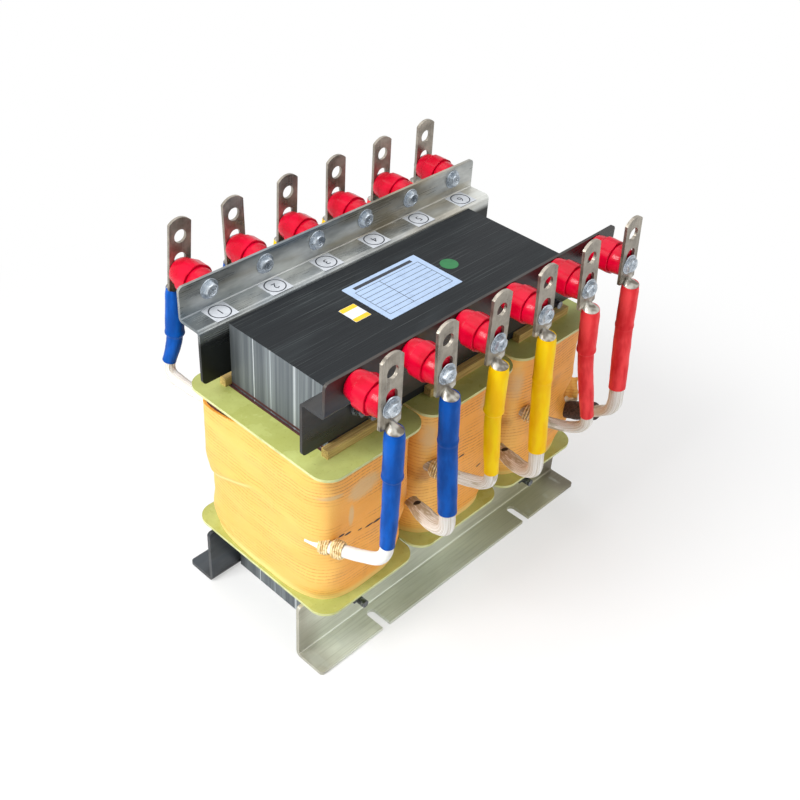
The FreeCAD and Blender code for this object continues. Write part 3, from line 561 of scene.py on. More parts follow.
FINISHES = {
    "stack": (varnished_stack,),
    "board": (red_brown_board,),
    "laminate": (laminate,),
    "tape": (wrapped_tape,),
    # Very dark red-brown: partly the inner wrap's own colour, partly painted shade of the gap under the upper
    # plate.
    "inner_wrap": (
        grained, (30, 10, 12), (104, 36, 40), (40.0, 40.0, 700.0), 3.0, (0.4, 0.7), 0.6, (0.5, 0.0005),
    ),
    "wood": (
        grained, (172, 142, 78), (214, 188, 118), (30.0, 700.0, 700.0), 4.0, (0.3, 0.7), 0.65, (0.4, 0.0003),
    ),
    "front_angle": (front_angle_steel,),
    "back_angle": (rolled_steel, (48, 51, 54), (82, 86, 90), (70, 64, 58), (58, 66, 76)),
    # The front bracket's dark tones stand in for its dark reflections and its warm stain for reddish
    # reflections: painted reflection.
    "front_bracket_painted_reflection": (rolled_steel, (44, 42, 42), (78, 75, 72), (80, 58, 54), (54, 60, 66)),
    # The last colour is painted shade below the shelf.
    "back_bracket": (
        rolled_steel, (118, 122, 122), (214, 216, 212), (166, 152, 122), (112, 126, 138), (38, 40, 40),
    ),
    "zinc": (plated, (140, 150, 160), (200, 208, 216), 110.0),
    "stud_steel": (plated, (52, 55, 60), (118, 122, 128), 200.0),
    "red": (moulded_red,),
    "tin": (tinned_copper,),
    "braid": (glass_braid,),
    "clean_cover": (smooth_cover,),
    # Each sleeve's two colours are a shaded and a lit copy of its colour: painted shade and light.
    "blue_sleeve": (shrink_sleeve, (0, 68, 148), (0, 86, 180)),
    "yellow_sleeve": (shrink_sleeve, (250, 194, 0), (255, 214, 4)),
    "red_sleeve": (shrink_sleeve, (222, 42, 50), (250, 74, 78)),
    "twine": (grained, (204, 168, 104), (252, 232, 186), (320.0,) * 3),
    "dark_cloth": (grained, (48, 36, 34), (84, 66, 62), (500.0,) * 3),
    "frayed": (grained, (218, 198, 156), (240, 230, 206), (160.0,) * 3),
    "plate_blue": (printed, (172, 194, 224), (146, 166, 194)),
    "print_dark": (printed, (34, 38, 48), (66, 72, 84)),
    "film_grey": (printed, (196, 200, 206), (150, 156, 162)),
    "paper_white": (printed, (226, 230, 238), (178, 184, 190)),
    "label_yellow": (printed, (240, 198, 36), (206, 166, 40)),
    "label_green": (printed, (22, 112, 58), (30, 86, 56)),
}
finish = {name: make_finish(name, *recipe) for name, recipe in FINISHES.items()}


def carry(piece, slot, *replaced):
    """Rides the piece on the body and hides the nodes that it stands for. The slot is not used."""
    if replaced:
        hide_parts(*replaced)
    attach(piece, "root")


def placed(name, data):
    """An object at the origin."""
    made = bpy.data.objects.new(name, data)
    bpy.context.collection.objects.link(made)
    return made


def settled(piece):
    """The mesh that an object shows with its modifiers."""
    return bpy.data.meshes.new_from_object(piece.evaluated_get(bpy.context.evaluated_depsgraph_get()))


def mesh_object(name, vertices, faces, material=None, smooth_angle=40.0):
    """A piece from points in millimetres; the normals are made to face outwards."""
    mesh = bpy.data.meshes.new(name)
    mesh.from_pydata([metres(vertex) for vertex in vertices], [], faces)
    if material:
        mesh.materials.append(finish[material])
    work = bmesh.new()
    work.from_mesh(mesh)
    bmesh.ops.remove_doubles(work, verts=work.verts, dist=1e-6)
    bmesh.ops.recalc_face_normals(work, faces=work.faces)
    work.to_mesh(mesh)
    work.free()
    mesh.shade_smooth()
    mesh.set_sharp_from_angle(angle=math.radians(smooth_angle))
    return placed(name, mesh)


def shell_piece(name, rings, material, smooth_angle, capped=()):
    """A piece from rings of points. The last ring joins the first, or the rings that are capped end it."""
    count = len(rings[0])
    faces = []
    for level in range(len(rings) - bool(capped)):
        here = level * count
        above = (level + 1) % len(rings) * count
        for number in range(count):
            beside = (number + 1) % count
            faces.append((here + number, here + beside, above + beside, above + number))
    faces += [tuple(range(level * count, (level + 1) * count)) for level in capped]
    return mesh_object(name, [point for ring in rings for point in ring], faces, material, smooth_angle)


def joined(name, pieces):
    """One mesh object from several that lie at the origin and have one material each."""
    mesh = bpy.data.meshes.new(name)
    work = bmesh.new()
    for piece in pieces:
        material = piece.data.materials[0]
        if material.name not in mesh.materials:
            mesh.materials.append(material)
        for polygon in piece.data.polygons:
            polygon.material_index = mesh.materials.find(material.name)
        work.from_mesh(piece.data)
        bpy.data.objects.remove(piece)
    work.to_mesh(mesh)
    work.free()
    return placed(name, mesh)


def turns(count):
    """Even angles round a circle."""
    return [2 * math.pi * number / count for number in range(count)]


def circle_outline(x, y, radius, count):
    return [(x + radius * math.cos(angle), y + radius * math.sin(angle)) for angle in turns(count)]


def level_ring(outline, height):
    return [(x, y, height) for x, y in outline]


def hollow_piece(name, outer, inner, low, high, material, smooth_angle):
    """A level wall between two outlines."""
    rings = [level_ring(outer, low), level_ring(outer, high), level_ring(inner, high), level_ring(inner, low)]
    return shell_piece(name, rings, material, smooth_angle)


# Geometry trees

def geometry_tree(name, inputs):
    """An empty geometry tree, its graph, and its inputs by name; they are given by kind."""
    tree = bpy.data.node_groups.new(name, "GeometryNodeTree")
    for kind, labels in {"Geometry": ["Geometry"], **inputs}.items():
        for label in labels:
            tree.interface.new_socket(name=label, in_out="INPUT", socket_type="NodeSocket" + kind)
    tree.interface.new_socket(name="Geometry", in_out="OUTPUT", socket_type="NodeSocketGeometry")
    graph = Graph(tree)
    source = graph.add("NodeGroupInput")
    given = {socket.name: Value(graph, socket) for socket in source.socket.node.outputs if socket.name}
    return tree, graph, given


def finish_tree(graph, geometry, material):
    whole = graph.add("GeometryNodeRealizeInstances", values={0: geometry})
    whole = graph.add("GeometryNodeSetMaterial", values={"Geometry": whole, "Material": material})
    graph.add("NodeGroupOutput", values={0: whole})


def grown(name, carrier, tree, settings):
    """Runs a geometry tree on a carrier object and keeps the result as a plain mesh object."""
    modifier = carrier.modifiers.new(tree.name, "NODES")
    modifier.node_group = tree
    for item in tree.interface.items_tree:
        if item.name in settings:
            modifier[item.identifier] = settings[item.name]
    carrier.update_tag()
    bpy.context.view_layer.update()
    mesh = settled(carrier)
    mesh.name = name
    carrier.modifiers.remove(modifier)
    bpy.data.objects.remove(carrier)
    return placed(name, mesh)


def build_seat_tree():
    """Sets copies of one piece on seats, each turned to face its seat's way and spun by chance."""
    inputs = {"Object": ["Piece"], "Float": ["Spin"], "Int": ["Seed"], "Material": ["Finish"]}
    tree, g, given = geometry_tree("pieces_on_seats", inputs)
    values = {"Object": given["Piece"], "As Instance": True}
    copy = g.add("GeometryNodeObjectInfo", values=values, out="Geometry")
    values = {"Points": given["Geometry"], "Instance": copy, "Rotation": g.stored("facing")}
    placed_copies = g.add("GeometryNodeInstanceOnPoints", values=values)
    values = {"Min": 0.0, "Max": 1.0, "Seed": given["Seed"]}
    chance = g.add("FunctionNodeRandomValue", {"data_type": "FLOAT"}, values, "Value")
    turn = g.add("ShaderNodeCombineXYZ", values={"Y": chance * given["Spin"]})
    values = {"Instances": placed_copies, "Rotation": turn, "Local Space": True}
    finish_tree(g, g.add("GeometryNodeRotateInstances", values=values), given["Finish"])
    return tree


def build_tube_tree():
    """A tube on a route. It can swell over its first stretch up to a ring, shrink before its end,
    thin out from a place on, and flatten."""
    tree, g, given = geometry_tree("tube_on_route", {
        "Float": [
            "Start", "End", "Radius", "Swell", "Swell Length", "Ring", "Lip", "Shrink", "Thin From", "Thin",
            "Flatness", "Flat From", "Unevenness",
        ],
        "Bool": ["Close"],
        "Material": ["Finish"],
    })
    values = {"Curve": g.trimmed(given), "Length": TUBE_STEP}
    route = g.add("GeometryNodeResampleCurve", {"mode": "LENGTH"}, values)
    run = g.add("GeometryNodeSplineParameter", out="Length")
    length = given["End"] - given["Start"]
    step = given["Swell Length"]
    ring = g.ramp(run, step - 0.004, step - 0.001) * g.ramp(run, step + 0.0005, step + 0.003, 1.0, 0.0)
    radius = given["Radius"] + given["Swell"] * g.ramp(run, step, step + 0.0035, 1.0, 0.0)
    radius = radius + given["Ring"] * ring
    radius = radius + given["Lip"] * g.ramp(run, 0.001, 0.008, 1.0, 0.0)
    radius = radius - given["Shrink"] * g.ramp(run, length - 0.026, length - 0.004)
    run = run + given["Start"]
    radius = radius * g.ramp(run, given["Thin From"], given["Thin From"] + 0.036, 1.0, given["Thin"])
    position = g.add("GeometryNodeInputPosition")
    route = g.store(route, "run", run, "FLOAT")
    route = g.store(route, "centre", position)
    route = g.store(route, "across", g.add("GeometryNodeInputNormal"))
    route = g.add("GeometryNodeSetCurveRadius", values={"Curve": route, "Radius": radius})
    circle = g.store(g.circle(TUBE_POINTS, 1.0), "rim", position)
    values = {"Curve": route, "Profile Curve": circle, "Scale": radius, "Fill Caps": given["Close"]}
    tube = g.add("GeometryNodeCurveToMesh", values=values)
    run = g.stored("run", "FLOAT")
    spread = g.vector("SUBTRACT", position, g.stored("centre"))
    across = g.stored("across")
    thick = g.vector("DOT_PRODUCT", spread, across, out="Value")
    squeeze = given["Flatness"] * g.ramp(run, given["Flat From"], given["Flat From"] + 0.025)
    flattened = g.scaled(across, thick * squeeze * -1.0)
    widened = g.scaled(g.vector("SUBTRACT", spread, g.vector("PROJECT", spread, across)), squeeze * 0.5)
    rough = g.noise(g.vector("MULTIPLY", position, (1.0, 1.0, 0.7)), 75.0, 3.0) - 0.5
    swelled = g.scaled(g.vector("NORMALIZE", spread), rough * given["Unevenness"])
    offset = g.vector("ADD", g.vector("ADD", flattened, widened), swelled)
    tube = g.add("GeometryNodeSetPosition", values={"Geometry": tube, "Offset": offset})
    along = g.vector("ADD", g.stored("rim"), g.add("ShaderNodeCombineXYZ", values={"Z": run}))
    finish_tree(g, g.store(tube, "along", along), given["Finish"])
    return tree


def build_twine_tree():
    """Turns of twine round a route."""
    inputs = {"Float": ["Start", "End", "Turns", "Radius", "Thickness"], "Material": ["Finish"]}
    tree, g, given = geometry_tree("twine_round_route", inputs)
    values = {"Curve": g.trimmed(given), "Count": TWINE_STEPS}
    route = g.add("GeometryNodeResampleCurve", {"mode": "COUNT"}, values)
    angle = g.add("GeometryNodeSplineParameter", out="Factor") * given["Turns"] * (2.0 * math.pi)
    across = g.add("GeometryNodeInputNormal")
    beside = g.vector("CROSS_PRODUCT", g.add("GeometryNodeInputTangent"), across)
    reach = given["Radius"] * (1 + 0.12 * (g.noise(g.add("GeometryNodeInputPosition"), 300.0, 2.0) - 0.5))
    offset = g.vector("ADD", g.scaled(across, angle.cosine() * reach), g.scaled(beside, angle.sine() * reach))
    route = g.add("GeometryNodeSetPosition", values={"Geometry": route, "Offset": offset})
    circle = g.circle(TWINE_POINTS, given["Thickness"])
    values = {"Curve": route, "Profile Curve": circle, "Fill Caps": True}
    wound = g.add("GeometryNodeSetShadeSmooth", values={0: g.add("GeometryNodeCurveToMesh", values=values)})
    finish_tree(g, wound, given["Finish"])
    return tree


seat_tree = build_seat_tree()
tube_tree = build_tube_tree()
twine_tree = build_twine_tree()


# Camera, light and floor

def set_camera():
    azimuth, elevation, roll = (math.radians(angle) for angle in CAMERA_ANGLES)
    back = Vector((
        math.sin(azimuth) * math.cos(elevation),
        -math.cos(azimuth) * math.cos(elevation),
        math.sin(elevation),
    ))
    level = Vector((math.cos(azimuth), math.sin(azimuth), 0.0))
    rise = back.cross(level)
    right = level * math.cos(roll) + rise * math.sin(roll)
    up = rise * math.cos(roll) - level * math.sin(roll)
    turn = Matrix((right, up, back)).transposed().to_4x4()
    data = bpy.data.cameras.new("camera")
    data.sensor_width = SENSOR_WIDTH
    data.lens = FOCAL_LENGTH / PICTURE_WIDTH * SENSOR_WIDTH
    data.clip_start = 0.05
    camera = placed("camera", data)
    camera.matrix_world = Matrix.Translation(CAMERA_PLACE) @ turn
    bpy.context.scene.camera = camera


def set_lamp(name, place, size, power):
    """A soft lamp that points at the middle of the part."""
    data = bpy.data.lights.new(name, "AREA")
    data.shape = "RECTANGLE"
    data.size, data.size_y = size
    data.energy = power
    lamp = placed(name, data)
    lamp.location = place
    lamp.rotation_euler = (Vector(LAMP_TARGET) - Vector(place)).to_track_quat("-Z", "Y").to_euler()


def seen_directly(g):
    """1 for the rays that show the background: to the camera, in gloss and through glass."""
    seen = g.add("ShaderNodeLightPath", out="Is Camera Ray")
    for kind in ("Is Glossy Ray", "Is Transmission Ray"):
        seen = seen.larger(g.add("ShaderNodeLightPath", out=kind))
    return seen


def set_world():
    """White where it is seen and weaker where it lights the part."""
    world = bpy.data.worlds.new("studio")
    g = fresh_graph(world)
    soft = g.add("ShaderNodeBackground", values={"Color": WHITE, "Strength": 0.33})
    white = g.add("ShaderNodeBackground", values={"Color": WHITE, "Strength": 1.0})
    mixed = g.add("ShaderNodeMixShader", values={0: seen_directly(g), 1: soft, 2: white})
    g.add("ShaderNodeOutputWorld", values={"Surface": mixed})
    bpy.context.scene.world = world


def set_floor():
    """A pale floor that takes the object's shadow and reads white further out."""
    square = ((-1, -1), (1, -1), (1, 1), (-1, 1))
    corners = [(x * FLOOR_REACH, y * FLOOR_REACH, FLOOR_LEVEL) for x, y in square]
    floor = mesh_object("floor", corners, [(0, 1, 2, 3)])
    material = bpy.data.materials.new("pale_floor")
    g = fresh_graph(material)
    matt = g.add("ShaderNodeBsdfDiffuse", values={"Color": (0.9, 0.9, 0.9, 1.0)})
    glow = g.add("ShaderNodeEmission", values={"Color": WHITE, "Strength": 1.0})
    share = seen_directly(g) * g.ramp(g.vector("LENGTH", g.place(), out="Value"), 0.3, 0.75, 0.5, 1.0)
    mixed = g.add("ShaderNodeMixShader", values={0: share, 1: matt, 2: glow})
    g.add("ShaderNodeOutputMaterial", values={"Surface": mixed})
    floor.data.materials.append(material)


# Pieces

def exponent_at(share):
    """The squareness of the coil at a share of its height."""
    for (low, first), (high, second) in zip(COIL_LEVELS, COIL_LEVELS[1:]):
        if share <= high:
            step = (share - low) / (high - low)
            return first + (second - first) * (step * step * (3 - 2 * step))


def within(value, low, high):
    """0 below the low number, 1 above the high one, and even in between."""
    return min(1.0, max(0.0, (value - low) / (high - low)))


def coil_ring(centre, share, inset=0.0):
    """A level outline of the coil with its wraps, lumps, fold and the swelling over its lead."""
    exponent = exponent_at(share)
    height = COIL_BOTTOM + share * (COIL_TOP - COIL_BOTTOM)
    swelling = Vector(LEAD_EXITS[PHASES.index(centre)])
    ring = []
    for angle in turns(COIL_POINTS):
        way = math.atan2(COIL_HALF_DEPTH * math.sin(angle), COIL_HALF_WIDTH * math.cos(angle))
        reach = (
            (abs(math.cos(way)) / COIL_HALF_WIDTH) ** exponent
            + (abs(math.sin(way)) / COIL_HALF_DEPTH) ** exponent
        ) ** (-1 / exponent)
        x = reach * math.cos(way)
        y = reach * math.sin(way)
        spot = Vector((centre + x, y, height))
        wave = noise.noise(Vector((spot.x * 0.02, spot.y * 0.02, height * 0.09)))
        lump = noise.noise(spot * 0.03)
        above = height - (FOLD_HEIGHT - FOLD_FALL * y)
        fold = 1.5 * math.exp(-((above - 4) / 5) ** 2) - 1.0 * math.exp(-((above + 4) / 5) ** 2)
        fold *= within(-x / COIL_HALF_WIDTH, 0.8, 0.95) * within(y, 0, 25) * within(-y, -88, -70)
        bulge = BULGE_HEIGHT * math.exp(-((spot - swelling).length / BULGE_SPREAD) ** 2)
        scale = (reach + 0.4 * wave + 1.0 * lump + fold + bulge - 1.2 - inset) / reach
        ring.append((centre + x * scale, y * scale, height))
    return ring


def drawn_in(ring, centre, x_share, y_share, rise):
    return [(centre + (x - centre) * x_share, y * y_share, z + rise) for x, y, z in ring]


def make_coil(side, centre):
    """A taped winding, flat at its ends, sagging at its back left corner over a dark inner wrap, whose
    red-brown is partly its own colour and partly painted shade of the gap under the plate.
    """
    rings = [coil_ring(centre, step / COIL_STEPS) for step in range(COIL_STEPS + 1)]
    rings.insert(0, drawn_in(rings[0], centre, 0.98, 0.985, 0.0))
    hole = []
    sag = []
    for x, y, _ in rings[-1]:
        beyond = max(abs(x - centre) / FORMER_HALF_WIDTH, abs(y) / FORMER_HALF_DEPTH)
        hole.append((centre + (x - centre) / beyond, y / beyond))
        sag.append(COIL_SAG * within(y, 0, 78) * within(centre - x, 42, 56) + 0.4)
    for level in range(-SAG_STEPS, 0):
        share = (level + SAG_STEPS + 1) / SAG_STEPS
        rings[level] = [(x, y, z - fall * share) for (x, y, z), fall in zip(rings[level], sag)]
    rings.append(drawn_in(rings[-1], centre, 0.985, 0.99, 0.3))
    rings.append(drawn_in(rings[-1], centre, 0.93, 0.95, -1.0))
    rings += [level_ring(hole, COIL_TOP - 12), level_ring(hole, COIL_BOTTOM)]
    name = f"{side}_winding"
    carry(shell_piece(name, rings, "tape", 60.0), "winding_tape", f"{side}_coil")
    wall = [(x, y) for x, y, _ in coil_ring(centre, 0.97, LINING_INSET)]
    levels = (COIL_TOP - LINING_HEIGHT, COIL_TOP - 0.1)
    lining = hollow_piece(name + "_lining", wall, hole, *levels, "inner_wrap", 60.0)
    carry(lining, "winding_tape")


def spun(reach, angle, place):
    """A point at a place along Y, turned about that axis."""
    return (reach * math.cos(angle), place, reach * math.sin(angle))


def turned_piece(name, stations, points, material):
    """A closed piece about the Y axis. Each station is a place along Y and a radius, which can depend on
    the angle."""
    rings = [
        [spun(radius(angle) if callable(radius) else radius, angle, place) for angle in turns(points)]
        for place, radius in stations
    ]
    return shell_piece(name, rings, material, 32.0, (0, len(rings) - 1))


def hexagon(across_flats, limit):
    """The radius of a hexagon at an angle, no more than the limit."""

    def radius(angle):
        part = (angle + math.pi / 6) % (math.pi / 3) - math.pi / 6
        return min(across_flats / 2 / math.cos(part), limit)

    return radius


def standoff_piece():
    """A moulded drum insulator: two rounded barrels and a raised six-sided band between them."""
    half = [
        (0.0, 12.2), (0.35, 12.8), (1.1, 13.3), (4.0, 13.9), (8.0, 14.5), (11.0, 14.7), (12.0, 14.5),
        (12.2, 14.1), (12.25, hexagon(31.6, 16.5)), (12.65, hexagon(32.4, 16.9)),
    ]
    other = [(STANDOFF_LENGTH - place, radius) for place, radius in reversed(half)]
    return turned_piece("standoff", half + other, HEAD_POINTS, "red")


def bolt_piece():
    """A six-sided head with a turned chamfer, a shallow dish and a cross recess."""
    side = hexagon(13.0, 20.0)

    def level(reach, angle):
        depth = 0.4 if reach < 4.2 else 0.0
        arm = reach * min(abs(math.cos(angle)), abs(math.sin(angle)))
        if arm < 0.75 and reach < 3.0:
            depth += 1.5 * (1 - 0.6 * reach / 3.0)
        return HEAD_HEIGHT - depth

    angles = turns(HEAD_POINTS)
    rings = [
        [spun(reach, angle, level(reach, angle)) for angle in angles]
        for reach in (0.0, 0.7, 1.4, 2.1, 2.7, 3.2, 4.0, 4.5, HEAD_FACE_RADIUS)
    ]
    corners = [(side(angle), angle) for angle in angles]
    rings.append([spun(r, a, HEAD_HEIGHT - (r - HEAD_FACE_RADIUS) * 0.6) for r, a in corners])
    rings.append([spun(r, a, 0.0) for r, a in corners])
    return shell_piece("bolt", rings, "zinc", 24.0, (len(rings) - 1,))


def washer_piece():
    """A flat washer with a lock ring on it."""
    stations = [(0.0, 9.6), (0.2, 10.0), (0.75, 10.0), (0.95, 9.7), (0.95, 8.3), (1.5, 8.3), (1.6, 8.0)]
    return turned_piece("washer", stations, WASHER_POINTS, "zinc")


def seats(name, places):
    """A carrier of points; each has a place in millimetres and a turn about the upright axis."""
    mesh = bpy.data.meshes.new(name)
    mesh.from_pydata([metres(place) for place, _ in places], [], [])
    facing = mesh.attributes.new("facing", "FLOAT_VECTOR", "POINT")
    for entry, (_, turn) in zip(facing.data, places):
        entry.vector = (0.0, 0.0, turn)
    return placed(name, mesh)


def make_set(name, piece, places, spin, material, slot, node):
    """Copies of a piece, which points along +Y, on their seats in place of a node of the frame."""
    settings = {"Piece": piece, "Spin": spin, "Seed": SPIN_SEED, "Finish": finish[material]}
    carry(grown(name, seats(name + "_seats", places), seat_tree, settings), slot, node)
    bpy.data.objects.remove(piece)


def make_fasteners():
    """Standoffs, bolts and washers on both rows of terminals."""
    for row, side, turn in (("front", -1, math.pi), ("back", 1, 0.0)):
        places = [((x, side * FLANGE_OUTER, TERMINAL_HEIGHT), turn) for x in TERMINALS]
        node = f"{row}_standoffs"
        make_set(f"{row}_insulators", standoff_piece(), places, 0.0, "red", "standoff_red", node)
    for node, make, depth, spin in (
        ("lug_washer", washer_piece, PALM_FACE, 0.0),
        ("lug_bolt", bolt_piece, PALM_FACE + WASHER_THICKNESS, 2 * math.pi),
        ("bracket_washer", washer_piece, FLANGE_INNER, 0.0),
        ("bracket_bolt", bolt_piece, FLANGE_INNER - WASHER_THICKNESS, 2 * math.pi),
    ):
        outward = -1 if depth > FLANGE_OUTER else 1
        places = [
            ((x, side * depth, TERMINAL_HEIGHT), math.pi if side == outward else 0.0)
            for x in TERMINALS for side in (-1, 1)
        ]
        make_set(node + "_set", make(), places, spin, "zinc", "zinc_fasteners", node + "s")


def route_curve(name, points):
    """An open smooth curve with the route's points, in millimetres, as its control points."""
    data = bpy.data.curves.new(name, "CURVE")
    data.dimensions = "3D"
    data.resolution_u = 24
    spline = data.splines.new("NURBS")
    spline.points.add(len(points) - 1)
    for point, place in zip(spline.points, points):
        point.co = (*metres(place), 1.0)
    spline.order_u = 3
    spline.use_endpoint_u = True
    return placed(name, data)


def lug_at(number, row):
    """A lug's place along the part, its tilt, and 1 for the front row or -1 for the back row."""
    if row == "front":
        return TERMINALS[number], math.radians(FRONT_TILTS[number]), 1
    return TERMINALS[number], math.radians(BACK_TILTS[number]), -1


def on_lug(lug, point):
    """A point beside an upright lug, turned with it about its bolt."""
    x, tilt, way = lug
    dx, y, z = point
    rise = z - TERMINAL_HEIGHT
    return (
        x + dx * math.cos(tilt) + rise * math.sin(tilt),
        way * y,
        TERMINAL_HEIGHT - dx * math.sin(tilt) + rise * math.cos(tilt),
    )


def lead_route(number, row):
    """Control points of a lead from its barrel into its coil."""
    offsets = FRONT_ROUTES[number]
    if row == "back":
        side = -1 if number % 2 == 0 else 1
        offsets = [(side * dx, dy, dz) for dx, dy, dz in BACK_ROUTE]
    points = [(0.0, -BARREL_LINE, level) for level in (ROUTE_TOP, BARREL_END + 12, BARREL_END - 12)]
    points += [(dx, -BARREL_LINE + dy, BARREL_END + dz) for dx, dy, dz in offsets]
    return [on_lug(lug_at(number, row), point) for point in points]


def tube_piece(name, points, material, sizes):
    """A tube on a route; the sizes are what differs from a plain tube."""
    settings = {**PLAIN_TUBE, **sizes, "Finish": finish[material]}
    return grown(name, route_curve(name + "_route", points), tube_tree, settings)


def walled(piece, thickness):
    """Gives an open surface a wall."""
    wall = piece.modifiers.new("wall", "SOLIDIFY")
    wall.thickness = thickness * MM
    wall.offset = -1.0
    solid = settled(piece)
    piece.modifiers.clear()
    piece.data = solid
    solid.shade_smooth()
    return piece


def draw_up(sleeve, lug):
    """Draws the rim of a sleeve up over the pressed roof of its lug, highest beside the palm."""
    _, tilt, way = lug
    mouth = Vector(on_lug(lug, (0.0, -BARREL_LINE, ROUTE_TOP))) * MM
    up = Vector((math.sin(tilt), 0.0, math.cos(tilt)))
    for vertex in sleeve.data.vertices:
        away = vertex.co - mouth
        depth = -away.dot(up) / MM
        if depth <= RIM_DEPTH:
            lean = (away - up * away.dot(up)).normalized().dot(Vector((0.45, 0.9 * way, 0.0)))
            lift = (0.4 + 0.9 * lean) * (1 - max(depth, 0.0) / RIM_DEPTH)
            vertex.co += up * lift * MM


def make_leads():
    """Each terminal's lead and its shrink sleeve; a sleeve's colour is its phase's."""
    sleeves = {"blue": [], "yellow": [], "red": []}
    for row in ("front", "back"):
        for number in range(len(TERMINALS)):
            points = lead_route(number, row)
            front = row == "front"
            double = number % 2 == 1
            radius = DOUBLE_RADIUS if double else SINGLE_RADIUS
            covered = ROUTE_TOP - BARREL_END + (FRONT_SLEEVES[number] if front else BACK_SLEEVE)
            clean = front and number == 0
            sizes = {
                "Start": 0.036, "Radius": radius * MM, "Flatness": 0.4 if double else 0.1,
                "Flat From": (covered + 22) * MM, "Unevenness": 0.0008 if clean else 0.0016,
            }
            if front and number in THINNING:
                sizes["Thin From"], sizes["Thin"] = THINNING[number]
            name = f"{row}_lead_{number + 1}"
            lead = tube_piece(name + "_braid", points, "clean_cover" if clean else "braid", sizes)
            lead.data.shade_smooth()
            carry(lead, "lead_braid", name)
            sizes = {
                "End": covered * MM, "Radius": (radius + SLEEVE_WALL) * MM,
                "Swell": (SLEEVE_RADIUS_ON_BARREL - radius - SLEEVE_WALL) * MM, "Swell Length": 0.0495,
                "Ring": 0.0005, "Lip": -0.0007, "Shrink": 0.00025 if double else 0.00085,
                "Unevenness": 0.0012, "Close": False,
            }
            colour = list(sleeves)[number // 2]
            sleeve = walled(tube_piece(name + "_sleeve", points, colour + "_sleeve", sizes), 1.0)
            draw_up(sleeve, lug_at(number, row))
            sleeves[colour].append(sleeve)
    for colour, pieces in sleeves.items():
        for piece in pieces:
            carry(piece, "sleeve_" + colour, f"{colour}_sleeves")


def make_ties():
    """Twine where the leads leave the coils."""
    for order, (number, start, end, count, radius, thickness) in enumerate(TWINE):
        settings = {
            "Start": start, "End": end, "Turns": float(count), "Radius": radius * MM,
            "Thickness": thickness * MM, "Finish": finish["twine"],
        }
        curve = route_curve("tie_route", lead_route(number, "front"))
        carry(grown(f"twine_winding_{order + 1}", curve, twine_tree, settings), "lead_braid")


def scrap_piece(name, centre, across, rise, material, seed):
    """A torn flap, crumpled and ragged at its edges."""
    across, rise, middle = Vector(across), Vector(rise), Vector(centre)
    face = across.cross(rise).normalized()
    vertices = []
    for row in range(SCRAP_STEPS + 1):
        for column in range(SCRAP_STEPS + 1):
            u = 2 * column / SCRAP_STEPS - 1
            v = 2 * row / SCRAP_STEPS - 1
            ragged = 1 + 0.3 * noise.noise(Vector((u * 2.2, v * 2.2, seed)))
            spot = middle + (across * u + rise * v) * ragged
            spot += face * 3.0 * noise.noise(Vector((u * 1.3, v * 1.3, seed + 4.0)))
            vertices.append(tuple(spot))
    faces = []
    for row in range(SCRAP_STEPS):
        for column in range(SCRAP_STEPS):
            start = row * (SCRAP_STEPS + 1) + column
            faces.append((start, start + 1, start + SCRAP_STEPS + 2, start + SCRAP_STEPS + 1))
    return walled(mesh_object(name, vertices, faces, material, 50.0), 0.5)


def make_wraps():
    """The dark cloth round the last lead's root and the torn ends of tape and cover beside it."""
    sizes = {"Start": 0.192, "Radius": 9.8 * MM, "Unevenness": 0.004}
    wrap = tube_piece("dark_wrap", lead_route(5, "front"), "dark_cloth", sizes)
    wrap.data.shade_smooth()
    carry(wrap, "lead_braid")
    carry(scrap_piece("torn_tape", (188, -82, 140), (5, -6, 2), (-1, 2, 14), "tape", 1.0), "winding_tape")
    carry(scrap_piece("frayed_cover", (188, -86, 124), (6, -4, 1), (1, 2, 5), "frayed", 7.0), "lead_braid")


def flat_piece(outline, height, thickness, material, name="sheet"):
    """A thin plate with the outline on a level surface."""
    rings = [level_ring(outline, height), level_ring(outline, height + thickness)]
    return shell_piece(name, rings, material, 30.0, (0, 1))


def box_outline(low_x, low_y, high_x, high_y, radius):
    """A rectangle with rounded corners."""
    outline = []
    for x, y, start in (
        (high_x - radius, high_y - radius, 0), (low_x + radius, high_y - radius, 90),
        (low_x + radius, low_y + radius, 180), (high_x - radius, low_y + radius, 270),
    ):
        for step in range(5):
            angle = math.radians(start + step * 22.5)
            outline.append((x + radius * math.cos(angle), y + radius * math.sin(angle)))
    return outline


def number_piece(words, x, y, height):
    """Plain raised print that is read from behind the part, as the ring stickers are."""
    data = bpy.data.curves.new("mark", "FONT")
    data.body = words
    data.size = 12.0 * MM
    data.align_x = "CENTER"
    data.align_y = "CENTER"
    data.extrude = 0.03 * MM
    text = placed("mark", data)
    bpy.context.view_layer.update()
    mesh = settled(text)
    bpy.data.objects.remove(text)
    mesh.transform(Matrix.Translation(metres((x, y, height))) @ Matrix.Rotation(math.pi, 4, "Z"))
    mesh.materials.clear()
    mesh.materials.append(finish["print_dark"])
    return placed("mark", mesh)


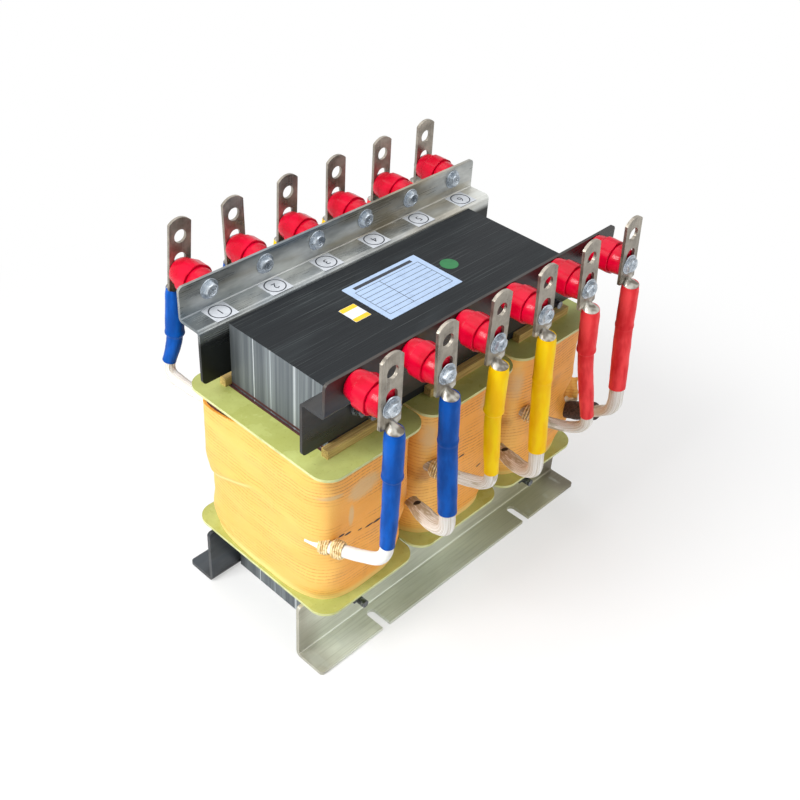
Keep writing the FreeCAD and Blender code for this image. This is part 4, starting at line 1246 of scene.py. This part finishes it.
def make_stickers():
    """Ring stickers on the back shelf, and the bare plate and plain labels on the core."""
    for number, terminal in enumerate(TERMINALS):
        x = terminal + 1.5
        outer, inner = (circle_outline(x, STICKER_CENTRE_Y, reach, PRINT_POINTS) for reach in (10.8, 9.6))
        film = box_outline(x - STICKER_HALF_WIDTH, 67.0, x + STICKER_HALF_WIDTH, 91.0, 0.6)
        low = SHELF_TOP + STICKER_THICKNESS
        carry(joined(f"ring_sticker_{number + 1}", [
            flat_piece(film, SHELF_TOP, STICKER_THICKNESS, "film_grey"),
            hollow_piece("ring", outer, inner, low, low + RING_THICKNESS, "print_dark", 30.0),
            number_piece(str(number + 1), x, STICKER_CENTRE_Y, low + 0.03),
        ]), "bracket_steel")
    rules = [(-44.0, -20.5 + row * 6.6, 42.0, -19.9 + row * 6.6) for row in range(8)]
    rules += [(-44.0, -20.5, -43.4, 26.3), (-12.0, -20.5, -11.4, 26.3), (41.4, -20.5, 42.0, 26.3)]
    rules += [(-40.0, 29.4, 38.0, 33.6)]
    plate = [flat_piece(box_outline(-50.0, -27.2, 48.2, 38.0, 0.8), CORE_TOP, 0.3, "plate_blue")]
    for rule in rules:
        plate.append(flat_piece(box_outline(*rule, 0.2), CORE_TOP + 0.3, PRINT_THICKNESS, "print_dark"))
    carry(joined("rating_plate", plate), "core_steel")
    bands = ((-76.0, 8.6, -57.2, 14.4, 0.6), (-76.0, -9.0, -57.2, -3.4, 0.6))
    paper = box_outline(-76.2, -9.2, -57.0, 14.6, 0.8)
    label = [flat_piece(paper, CORE_TOP, STICKER_THICKNESS, "paper_white")]
    for band in bands:
        height = CORE_TOP + STICKER_THICKNESS
        label.append(flat_piece(box_outline(*band), height, PRINT_THICKNESS, "label_yellow"))
    carry(joined("plain_label", label), "core_steel")
    disc = circle_outline(62.8, 3.4, 9.3, 48)
    carry(flat_piece(disc, CORE_TOP, STICKER_THICKNESS, "label_green", "green_disc"), "core_steel")


def finish_nodes():
    """Gives each node that stays its own finish."""
    kept = {
        "stack": ["lower_yoke", "upper_yoke"] + [f"{side}_limb" for side in SIDES],
        "board": ["gap_spacers"] + [f"{side}_former" for side in SIDES],
        "laminate": [f"{side}_{level}_plate" for side in SIDES for level in ("lower", "upper")],
        "wood": ["packing_sticks"],
        "front_angle": ["front_base_angle"],
        "back_angle": ["back_base_angle"],
        "front_bracket_painted_reflection": ["front_upper_bracket"],
        "back_bracket": ["back_upper_bracket"],
        "stud_steel": ["clamp_studs", "clamp_washers", "clamp_nuts"],
        "tin": [f"{row}_lug_{number}" for row in ("front", "back") for number in range(1, 7)],
    }
    for material, names in kept.items():
        for name in names:
            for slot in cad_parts[name].material_slots:
                slot.material = finish[material]


set_camera()
set_world()
set_floor()
set_lamp("key", (-1.5, 0.2, 1.5), (0.9, 0.9), 42.0)
set_lamp("fill", (0.6, -1.9, 1.1), (1.6, 1.2), 12.0)
set_lamp("top", (0.2, 0.5, 2.1), (1.6, 1.6), 14.0)
bpy.context.scene.view_settings.view_transform = "Standard"

finish_nodes()
for side, centre in zip(SIDES, PHASES):
    make_coil(side, centre)
make_fasteners()
make_leads()
make_ties()
make_wraps()
make_stickers()
